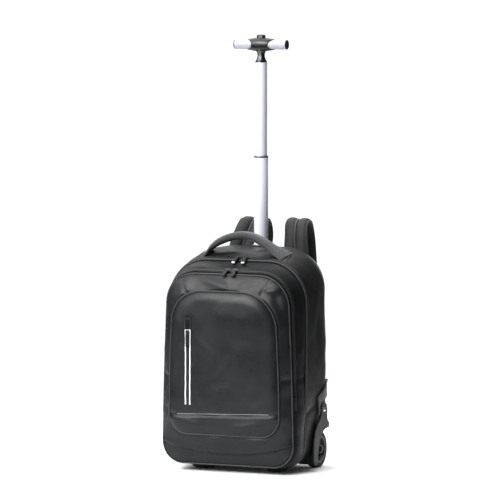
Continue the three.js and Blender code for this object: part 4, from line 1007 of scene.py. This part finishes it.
# Shoulder straps: foam pads in ribbed mesh with bound edges, stitched down their middle so that each side
# bulges, with a narrow tape sewn over that line. Each is sewn under the crown, arches back and hangs behind.
pad_mesh, pad_tree, pad_shader = shader("ribbed_pad_cloth", "#0e0f10", 0.7, Sheen_Weight=0.05,
                                        Sheen_Roughness=0.4)
place = node(pad_tree, "ShaderNodeTexCoord")
ribs = node(pad_tree, "ShaderNodeTexWave", {"Vector": place.outputs["UV"]}, bands_direction="Y",
            Scale=0.31416 / 0.0018)
grain = node(pad_tree, "ShaderNodeTexNoise", {"Vector": place.outputs["Object"]}, Scale=300.0)
both = node(pad_tree, "ShaderNodeMath", {0: ribs.outputs["Fac"], 1: grain.outputs["Fac"]}, operation="ADD")
raised = node(pad_tree, "ShaderNodeBump", {"Height": both.outputs[0]}, Strength=0.5, Distance=0.0004)
pad_tree.links.new(raised.outputs["Normal"], pad_shader.inputs["Normal"])
half_pad = [(1, 0), (0.985, 0.30), (0.93, 0.42), (0.86, 0.80), (0.74, 0.98), (0.55, 1.06), (0.36, 1.02),
            (0.20, 0.84), (0.09, 0.50), (0.03, 0.34)]
pad_section = half_pad + [(-a, b) for a, b in half_pad[:0:-1]] + [(-1, 0)] \
    + [(-a, -b) for a, b in half_pad[1:]] + [(a, -b) for a, b in half_pad[:0:-1]]
STAND_OFF, STRAP_Y = 53, 43.9
STRAP_PATH = (
    # x as a share of the width, how far behind, height as a share, width, splay, sway and lean
    (0.2, 0.0, 0.9, 1.0, 0.0, 0.6, 1.0), (0.2, 0.01, 0.97, 1.0, 0.4, 0.8, 1.0),
    (0.196, 0.06, 1.045, 1.0, 1.0, 1.0, 0.5), (0.19, 0.24, 1.093, 1.0, 1.0, 1.0, 0.1),
    (0.19, 0.52, 1.107, 1.0, 1.0, 1.0, 0.0),
    (0.19, 0.8, 1.085, 1.0, 1.0, 1.0, 0.0), (0.192, 0.97, 1.035, 1.0, 1.0, 1.0, 0.0),
    (0.197, 1.0, 0.96, 1.0, 0.8, 0.8, 0.0), (0.21, 0.97, 0.8, 1.0, 0.4, 0.4, 0.0),
    (0.235, 0.88, 0.63, 0.95, 0.0, 0.0, 0.0), (0.262, 0.74, 0.51, 0.85, 0.0, 0.0, 0.0),
    (0.283, 0.62, 0.44, 0.65, 0.0, 0.0, 0.0),
)
flat_weave = [(-1, -1), (1, -1), (1, 0.6), (0.92, 1), (-0.92, 1), (-1, 0.6)]
for name, side in (("left", -1), ("right", 1)):
    sway, lean = (19, -16) if name == "left" else (0, 0)
    rows = []
    for share, behind, height, wide, splay, swayed, leaned in STRAP_PATH:
        angle = math.radians(14 * splay)
        x = side * share * WIDTH * 1000 + swayed * sway + leaned * lean
        rows.append(row(x, STRAP_Y + behind * STAND_OFF, height * HEIGHT * 1000,
                        (math.cos(angle), -side * math.sin(angle), 0), wide * 58, 14))
    strap, at, across, up = band(f"shoulder_strap_{name}", rows, pad_section, 150)
    dress(strap, pad_mesh, "bag", "strap_cloth", f"shoulder_strap_{name}", sharp=50)
    half_wide, none = smooth_rows(rows, 150)[:, 6:7] / 2, np.zeros((150, 1))
    for edge in (-1, 1):
        edge_at = at + across * edge * (half_wide - 0.0006)
        binding_rows = np.concatenate([edge_at, across, none + 0.0034, none + 0.0048], 1)
        binding, _, _, _ = band("strap_binding", binding_rows, fold[::4], 150)
        dress(binding, black_tape, "bag", "strap_cloth")
    face_out = up * np.sign(up[75][2])
    tape_rows = np.concatenate([at + face_out * 0.0046, across, none + 0.0034, none + 0.0012], 1)
    channel_tape, _, _, _ = band("strap_channel_tape", tape_rows, flat_weave, 150)
    dress(channel_tape, black_tape, "bag", "strap_cloth")

# Strap webbing, ladder buckles and side tabs: flat polyester webbing in a dull herringbone weave. It leaves the
# pad's end through a moulded buckle and goes round the bag's back corner to a folded tab sewn on its side.
flat_webbing, webbing_tree, webbing_shader = shader("flat_webbing", "#1b1c1e", 0.75, Sheen_Weight=0.2)
place = node(webbing_tree, "ShaderNodeTexCoord")
herring = node(webbing_tree, "ShaderNodeTexWave", {"Vector": place.outputs["UV"]}, bands_direction="DIAGONAL",
               Scale=0.31416 / 0.0018)
woven = node(webbing_tree, "ShaderNodeBump", {"Height": herring.outputs["Fac"]}, Strength=0.5, Distance=0.0003)
webbing_tree.links.new(woven.outputs["Normal"], webbing_shader.inputs["Normal"])
buckle_nylon, _, _ = shader("moulded_nylon", "#101012", 0.38)


def side_half(y, z):
    """Half the bag's width at y and z, in millimetres from the pole's axis"""
    share = (y + REACH * 1000) / (DEPTH * 1000)
    last = len(MAIN_GUSSET) - 1
    k = max(1, next((i for i, section in enumerate(MAIN_GUSSET) if section[0] >= share), last))
    a, b = MAIN_GUSSET[k - 1], MAIN_GUSSET[k]
    t = (share - a[0]) / (b[0] - a[0])
    section = [p + (q - p) * t for p, q in zip(a, b)]
    low = section[3] * HEIGHT + section[5] * WIDTH
    high = section[4] * HEIGHT - section[7] * WIDTH
    up = min(1, max(0, (z / 1000 - low) / (high - low)))
    return ((section[1] + (section[2] - section[1]) * up) * WIDTH + BELLY * math.sin(math.pi * up)) * 1000


TAB_LINE = ((-62, 147), (-46, 153), (-30, 159), (-17, 163.9), (-4, 168.3), (4, 171))
for name, side in (("left", -1), ("right", 1)):
    pad_end = Vector((side * 92.8, 76.8, 211.6))
    before = Vector((side * 85.9, 83.1, 245.3))
    along = (pad_end - before).normalized()
    start = pad_end + along * 0.6
    tab_end = Vector((side * (side_half(4, 171) + 2.3), 4, 171))
    tab_before = Vector((side * (side_half(-4, 168.3) + 2.3), -4, 168.3))
    onward = (tab_end - tab_before).normalized()
    web_rows = [row(*start, (1, 0, 0), 25, 1.8), row(*(start + along * 14), (1, 0, 0), 25, 1.8)]
    for share, behind, height in ((0.13, 0.5, 0.384), (0.38, 0.36, 0.366), (0.67, 0.1, 0.363)):
        web_rows.append(row(start.x + (tab_end.x - start.x) * share, STRAP_Y + behind * STAND_OFF, height * 481,
                            (1 - share, 0, side * share), 25, 1.8))
    web_rows.append(row(*(tab_end + onward * 12), (0, 0, side), 25, 1.8))
    web_rows.append(row(*(tab_end + onward * 0.6), (0, 0, side), 25, 1.8))
    web, _, _, _ = band(f"strap_webbing_{name}", web_rows, flat_weave, 110)
    dress(web, flat_webbing, "bag", "webbing", f"strap_webbing_{name}")

    # The tab: two layers of webbing, the outer one cut at a slant, drawn as one thick band with stitches along
    # both edges and one row across
    tab_rows = [row(side * (side_half(y, z) + 2.6), y, z, (0, 0, 1), 25, 2.4) for y, z in TAB_LINE]
    tab, tab_at, tab_across, tab_up = band(f"strap_tab_{name}", tab_rows, flat_weave, 60)
    dress(tab, flat_webbing, "bag", "webbing", f"strap_tab_{name}")
    outer = tab_up * np.sign(tab_up[30][0] * side)
    for edge in (-0.38, 0.38):
        seam = tab_at + tab_across * 0.025 * edge + outer * 0.0014
        thread = stitches("tab_stitches", seam[4:-6], outer[4:-6])
        dress(thread, grey_thread_and_glint, "bag", "webbing")
    cross = np.linspace(-0.38, 0.38, 12)[:, None]
    thread = stitches("tab_stitches", tab_at[5] + tab_across[5] * 0.025 * cross + outer[5] * 0.0014,
                      np.tile(outer[5], (12, 1)))
    dress(thread, grey_thread_and_glint, "bag", "webbing")

    # The buckle: a frame with two slots and a raised middle bar, drawn as one flat plate with the slots cut
    # through it
    wide = Vector((1, 0, 0))
    wide = (wide - along * wide.dot(along)).normalized()
    out = wide.cross(along)
    out = out if out.y > 0 else -out
    turn = placed(Vector(at_pole(*start)) + out * 0.0073, along, out)
    plate = slab(f"ladder_buckle_{name}", rounded(0.033, 0.020, 0.003), 0.004, 0.0009, turn)
    for k in (0, 1):
        low = 0.004 + k * 0.008
        slot = slab("slot", rounded(0.026, 0.0042, 0.001, low), 0.01, 0.0001,
                    turn @ Matrix.Translation((0, 0, -0.003)))
        cut(plate, slot)
    dress(plate, buckle_nylon, "bag", "black_plastic", f"ladder_buckle_{name}")

# Side loops: narrow flat webbing, sewn down at both ends beside each housing, to hang things from.
for side in (-1, 1):
    loop_rows = [row(side * (side_half(y, z) + lift), y, z, (0, 1, 0), 7, 1.2)
                 for y, z, lift in ((-60, 110, 0.9), (-60, 116, 1.4), (-59.5, 124, 4.2), (-59, 132, 4.6),
                                    (-58.5, 140, 2.6), (-58, 146, 1.0))]
    loop, _, _, _ = band("side_loop", loop_rows, flat_weave, 50)
    dress(loop, flat_webbing, "bag", "webbing")

# Pole: two drawn aluminium tubes that slide in a fixed one, with rims turned smooth. The satin white paint shows
# one broad soft streak. A black ring guides the thin tube, and a collar closes the hole in the crown.
white_paint, _, _ = shader("satin_white_paint", "#cfcfdb", 0.3, Coat_Weight=0.25, Coat_Roughness=0.15)
black_moulded, _, _ = shader("moulded_black", "#121214", 0.42)


def tube_profile(outer, inner, low, high, rim=0.0004):
    """Radius and height round a tube's wall, with both rims rounded"""
    return [(outer, low + rim), (outer, high - rim), (outer - rim * 0.3, high - rim * 0.3),
            (outer - rim, high), (inner + rim, high), (inner, high - rim), (inner, low + rim),
            (inner + rim, low), (outer - rim, low), (outer - rim * 0.3, low + rim * 0.3)]


axis_at = (0, POLE_Y, 0)
outer_tube = lathe("pole_outer", [(0, 0.0396), (0.0172, 0.0396), (0.0176, 0.0400), (0.0176, 0.4838),
                                  (0.0172, 0.4843), (0.0160, 0.4843), (0.0160, 0.0426), (0, 0.0426)],
                   96, axis_at)
dress(outer_tube, white_paint, "bag", "white_aluminium", "pole_outer")
middle_tube = lathe("pole_middle", tube_profile(0.0155, 0.0139, 0.4203, 0.6757), 96, axis_at)
dress(middle_tube, white_paint, "middle_stage", "white_aluminium", "pole_middle")
ring = lathe("pole_ring", tube_profile(0.0160, 0.0139, 0.676, 0.679, 0.0008), 96, axis_at)
dress(ring, black_moulded, "middle_stage", "black_plastic", "pole_ring")
top_tube = lathe("pole_top", tube_profile(0.01325, 0.01165, 0.612, 0.8847), 96, axis_at)
dress(top_tube, white_paint, "grip_stage", "white_aluminium", "pole_top")
collar = lathe("pole_collar", [(0.0179, 0.4813), (0.0230, 0.4813), (0.0230, 0.4822), (0.0222, 0.4835),
                               (0.0205, 0.4842), (0.0186, 0.4843), (0.0179, 0.4838)], 96, axis_at)
dress(collar, black_moulded, "bag", "black_plastic", "pole_collar")

# Grip: a glass-filled nylon hub on a waisted neck. Round scallops in its front and back let the white bar
# halves run in like arrowheads. The bar ends have flat black caps, and the button stands out of the hub's top.
hub_nylon, hub_tree, hub_shader = shader("glass_filled_nylon", "#0e0f10", 0.33, Specular_IOR_Level=0.4)
place = node(hub_tree, "ShaderNodeTexCoord")
spark = node(hub_tree, "ShaderNodeTexNoise", {"Vector": place.outputs["Object"]}, Scale=900.0)
fine = node(hub_tree, "ShaderNodeBump", {"Height": spark.outputs["Fac"]}, Strength=0.25, Distance=0.0001)
hub_tree.links.new(fine.outputs["Normal"], hub_shader.inputs["Normal"])
GRIP_Z, HUB_HALF, BAR_RADIUS = 0.924, 0.031, 0.0105
hub_rows = []
for x in np.linspace(-HUB_HALF, HUB_HALF, 61):
    s = abs(x) / HUB_HALF
    tall, deep = 0.0156 - 0.0040 * s ** 1.6, 0.0150 - 0.0032 * s ** 1.8
    turns = np.linspace(0, 2 * math.pi, 64, endpoint=False)
    c, w = np.cos(turns), np.sin(turns)
    hub_rows.append(np.stack([turns * 0 + x, POLE_Y + deep * np.sign(c) * np.abs(c) ** 0.9,
                              GRIP_Z + tall * np.sign(w) * np.abs(w) ** 0.9], axis=1))
hub = close_ends(skin("handle_hub", np.array(hub_rows), False))
neck = lathe("neck", [(0, 0.885), (0.0124, 0.885), (0.0130, 0.8858), (0.0128, 0.8872), (0.0113, 0.8895),
                      (0.0094, 0.8930), (0.0082, 0.8975), (0.0080, 0.9020), (0.0088, 0.9060),
                      (0.0108, 0.9095), (0.0124, 0.9120), (0.0120, 0.9160), (0, 0.9160)], 64, axis_at)
cut(hub, neck, "UNION")
for side in (-1, 1):
    turns = np.linspace(0, 2 * math.pi, 60, endpoint=False)
    scoop = np.array([np.stack([side * 0.0315 + 0.0128 * np.cos(turns), turns * 0 + POLE_Y + y,
                                GRIP_Z + 0.0118 * np.sin(turns)], axis=1) for y in (-0.05, -0.0030)])
    for part in (scoop, scoop * [1, -1, 1] + [0, 2 * POLE_Y, 0]):
        cut(hub, close_ends(skin("scoop", part, False)))
    bore = lathe("bore", [(0, side * 0.012), (0.0107, side * 0.012), (0.0107, side * 0.05), (0, side * 0.05)],
                 64, (0, POLE_Y, GRIP_Z), "X")
    cut(hub, bore)
pocket = slab("pocket", rounded(0.0196, 0.0116, 0.004, -0.0058), 0.03, 0.0001,
              Matrix.Translation((0, POLE_Y, 0.9305)))
cut(hub, pocket)
dress(hub, hub_nylon, "grip_stage", "grey_plastic", "handle_hub", sharp=30)
# A pale grey, worn as a plate on the neck's front and as a painted highlight on the button's front.
pale_grey_and_highlight, _, _ = shader("pale_grey_and_painted_highlight", "#595b5e", 0.35)
# The bars take a greyer copy of the pole's satin white paint: painted shade that holds back the strong light on
# them so that their edges show.
shaded_bar_paint, _, _ = shader("satin_grip_paint_painted_shade", "#a6a6b0", 0.5)
WAIST_Z = (0.885, 0.8895, 0.8930, 0.8975, 0.9020, 0.9060, 0.9095)
WAIST_RADIUS = (0.0130, 0.0113, 0.0094, 0.0082, 0.0080, 0.0088, 0.0108)
# A pale grey plate on the front of the neck's waist.
pale_plate_rows = []
for z in np.linspace(0.8892, 0.9100, 24):
    radius = float(np.interp(z, WAIST_Z, WAIST_RADIUS))
    half = 0.0046 - 0.0014 * (z - 0.8892) / 0.0208
    pale_plate_rows.append([(half * a, POLE_Y - math.sqrt(radius ** 2 - (half * a) ** 2) - lift, z)
                       for a, lift in ((-1, -0.0004), (-0.9, 0.0004), (0, 0.0004), (0.9, 0.0004), (1, -0.0004))])
dress(close_ends(skin("neck_pale_plate", np.array(pale_plate_rows), False)), pale_grey_and_highlight, "grip_stage", "grey_plastic")
for name, side in (("left", -1), ("right", 1)):
    bar_profile = [(0, side * 0.013), (BAR_RADIUS, side * 0.013), (BAR_RADIUS, side * 0.0602),
                   (0, side * 0.0602)]
    bar = lathe(f"handle_bar_{name}", bar_profile, 80, (0, POLE_Y, GRIP_Z), "X")
    dress(bar, shaded_bar_paint, "grip_stage", "white_aluminium", f"handle_bar_{name}")
    cap_profile = [(0, side * 0.0605), (0.0103, side * 0.0605), (BAR_RADIUS, side * 0.0609),
                   (BAR_RADIUS, side * 0.0616), (0.0099, side * 0.0623), (0.0084, side * 0.0625),
                   (0, side * 0.0625)]
    cap = lathe(f"handle_cap_{name}", cap_profile, 80, (0, POLE_Y, GRIP_Z), "X")
    dress(cap, black_moulded, "grip_stage", "black_plastic", f"handle_cap_{name}")
button = slab("handle_button", rounded(0.019, 0.011, 0.0040, -0.0055), 0.0113, 0.0016,
              Matrix.Translation((0, POLE_Y, 0.9342)))
dress(button, hub_nylon, "release_button", "black_plastic", "handle_button")
# The pale plate on the button's front is a painted highlight, the gleam on its rounded face.
button_highlight = slab("button_painted_highlight", rounded(0.0095, 0.0052, 0.0022, -0.0026), 0.0008, 0.0003,
             placed((0, POLE_Y - 0.0048, 0.9414), (0, 0, 1), (0, -1, 0)))
dress(button_highlight, pale_grey_and_highlight, "release_button", "black_plastic")

# Feet: moulded rubber blocks that round up to the bag at their ends, fixed under its front. Their fine grain
# keeps them flat black.
foot_rubber, rubber_tree, rubber_shader = shader("moulded_rubber", "#141415", 0.8)
place = node(rubber_tree, "ShaderNodeTexCoord")
grain = node(rubber_tree, "ShaderNodeTexNoise", {"Vector": place.outputs["Object"]}, Scale=500.0)
rough = node(rubber_tree, "ShaderNodeBump", {"Height": grain.outputs["Fac"]}, Strength=0.4, Distance=0.0003)
rubber_tree.links.new(rough.outputs["Normal"], rubber_shader.inputs["Normal"])
for name, side in (("left", -1), ("right", 1)):
    profile = []
    for t in np.linspace(0, 1, 14):
        half_long = 0.028 * (1 - t) ** 2 + 2 * 0.0202 * t * (1 - t) + 0.007 * t * t
        profile.append((-half_long, 0.01365 * (1 - t) ** 2))
    profile += [(-x, z) for x, z in reversed(profile)]
    turn = Matrix(((1, 0, 0, side * 0.087), (0, 0, 1, POLE_Y - 0.13107), (0, 1, 0, 0), (0, 0, 0, 1)))
    foot = slab(f"foot_{name}", profile[::-1], 0.028, 0.0012, turn)
    dress(foot, foot_rubber, "bag", "rubber_foot", f"foot_{name}")

# Wheel housings: textured nylon mouldings with an even dull gleam. A crescent plate on a riveted tongue covers
# the front of the wheel and leaves the rest to be seen. The hood and the inner wall line the well cut in the
# cloth; the wall carries the axle, whose outer end has a nut.
housing_nylon, _, _ = shader("moulded_housing", "#0c0d0e", 0.5, Specular_IOR_Level=0.35)
steel, steel_tree, steel_shader = shader("nickelled_steel", "#d9dadc", 0.22, 1.0)
place = node(steel_tree, "ShaderNodeTexCoord")
scuff = node(steel_tree, "ShaderNodeTexNoise", {"Vector": place.outputs["Object"]}, Scale=700.0)
fine = node(steel_tree, "ShaderNodeBump", {"Height": scuff.outputs["Fac"]}, Strength=0.15, Distance=0.0001)
steel_tree.links.new(fine.outputs["Normal"], steel_shader.inputs["Normal"])
AXLE_MM = (-18, 40)


def yz(points):
    """Points given in millimetres from the pole's axis as y and z in metres"""
    return [(POLE_Y + y / 1000, z / 1000) for y, z in points]


def side_ends(side, low, high):
    """The x of both faces of a piece, lower one first, from how many millimetres out on its side they lie"""
    return sorted((side * low / 1000, side * high / 1000))


HOOD = 55.7
plate_line = [(-8, 101), (-14, 103), (-18, 112), (-20, 132.5)] + arc((-37, 130), 17, 15, 180, 20)[1:] \
    + [(-54, 120), (-60, 112), (-75, 102), (-88, 86), (-95, 68), (-97, 45), (-96, 22), (-91, 13), (-80, 12),
       (-72.5, 14), (-71.5, 28), (-70, 42), (-64, 58), (-54, 73), (-40, 83), (-25, 87), (-8, 88)]
hood_line = [(-73.7, 12), (-73.7, 40)] + arc(AXLE_MM, HOOD, 180, 90, 24)[1:] + [(-6, 95.7), (-6, 92.7)] \
    + arc(AXLE_MM, HOOD - 3, 90, 180, 24) + [(-70.7, 12)]
wall_line = [(-73.7, 12), (-73.7, 40)] + arc(AXLE_MM, HOOD, 180, 90, 24)[1:] + [(22, 95.7), (22, 12)]
for name, side in (("left", -1), ("right", 1)):
    plate = side_solid(f"wheel_housing_{name}", yz(plate_line), *side_ends(side, 162.5, 165.9))
    bm = bmesh.new()
    bm.from_mesh(plate.data)
    rims = [e for e in bm.edges if len(e.link_faces) == 2 and e.calc_face_angle(0) > 1.2
            and abs(abs(e.verts[0].co.x) - 0.1659) < 1e-4 and abs(abs(e.verts[1].co.x) - 0.1659) < 1e-4]
    bmesh.ops.bevel(bm, geom=rims, offset=0.0012, segments=3, affect="EDGES", clamp_overlap=True)
    bm.to_mesh(plate.data)
    bm.free()
    dress(plate, housing_nylon, "bag", "grey_plastic", f"wheel_housing_{name}")
    for part, line, low, high in (("hood", hood_line, 121.3, 163), ("well_wall", wall_line, 121.3, 124.3),
                                  ("axle_boss", arc(AXLE_MM, 8, 0, 352, 40), 124, 125.7),
                                  ("axle_nut", arc(AXLE_MM, 7, 0, 352, 40), 150.3, 153),
                                  ("axle", arc(AXLE_MM, 4, 0, 350, 32), 124, 154)):
        dress(side_solid(part, yz(line), *side_ends(side, low, high)), housing_nylon, "bag", "grey_plastic")
    rivet_profile = [(0, side * 0.1662), (0.0046, side * 0.1662), (0.0046, side * 0.1669),
                     (0.0040, side * 0.1677), (0.0024, side * 0.1682), (0, side * 0.1682)]
    tongue_rivet = lathe(f"housing_rivet_{name}", rivet_profile, 40, (0, POLE_Y - 0.039, 0.130), "X")
    dress(tongue_rivet, steel, "bag", "rivet_metal", f"housing_rivet_{name}")

# Wheels: a soft tyre moulded on a nylon hub with six spokes, turning on the housing's axle. The tread has two
# grooves; the rubber stays flat black and the nylon has a dull gleam.
tyre_rubber, _, _ = shader("tyre_rubber", "#0c0c0d", 0.7, Specular_IOR_Level=0.3)
hub_grey, _, _ = shader("wheel_nylon", "#151618", 0.4)
for name, side in (("left", -1), ("right", 1)):
    centre = (side * 0.138, POLE_Y - 0.018, 0.040)
    tyre_profile = [(0.0303, -0.0110), (0.0368, -0.0110), (0.0385, -0.0104), (0.0396, -0.0088), (0.0400, -0.0066),
                    (0.0400, -0.0048), (0.0390, -0.0042), (0.0390, -0.0034), (0.0400, -0.0028), (0.0400, 0.0028),
                    (0.0390, 0.0034), (0.0390, 0.0042), (0.0400, 0.0048), (0.0400, 0.0066), (0.0396, 0.0088),
                    (0.0385, 0.0104), (0.0368, 0.0110), (0.0303, 0.0110)]
    tyre = lathe(f"wheel_tyre_{name}", tyre_profile, 120, centre, "X")
    dress(tyre, tyre_rubber, f"{name}_wheel", "tyre", f"wheel_tyre_{name}")
    hub_profile = [(0.0045, -0.0118), (0.0088, -0.0118), (0.0092, -0.0112), (0.0100, -0.0050), (0.0240, -0.0040),
                   (0.0262, -0.0106), (0.0296, -0.0108), (0.0300, -0.0104), (0.0300, 0.0104), (0.0296, 0.0108),
                   (0.0262, 0.0106), (0.0240, 0.0040), (0.0100, 0.0050), (0.0092, 0.0112), (0.0088, 0.0118),
                   (0.0045, 0.0118)]
    hub = lathe(f"wheel_hub_{name}", hub_profile, 120, centre, "X")
    for k in range(6):
        a = math.radians(k * 60)
        hole = []
        for radius, turns in ((0.0225, np.linspace(-21, 21, 9)), (0.0125, np.linspace(15, -15, 6))):
            for t in a + np.radians(turns):
                hole.append((centre[1] + radius * math.cos(t), centre[2] + radius * math.sin(t)))
        cut(hub, side_solid("gap", hole, side * 0.138 - 0.02, side * 0.138 + 0.02))
    dress(hub, hub_grey, f"{name}_wheel", "grey_plastic", f"wheel_hub_{name}", sharp=30)
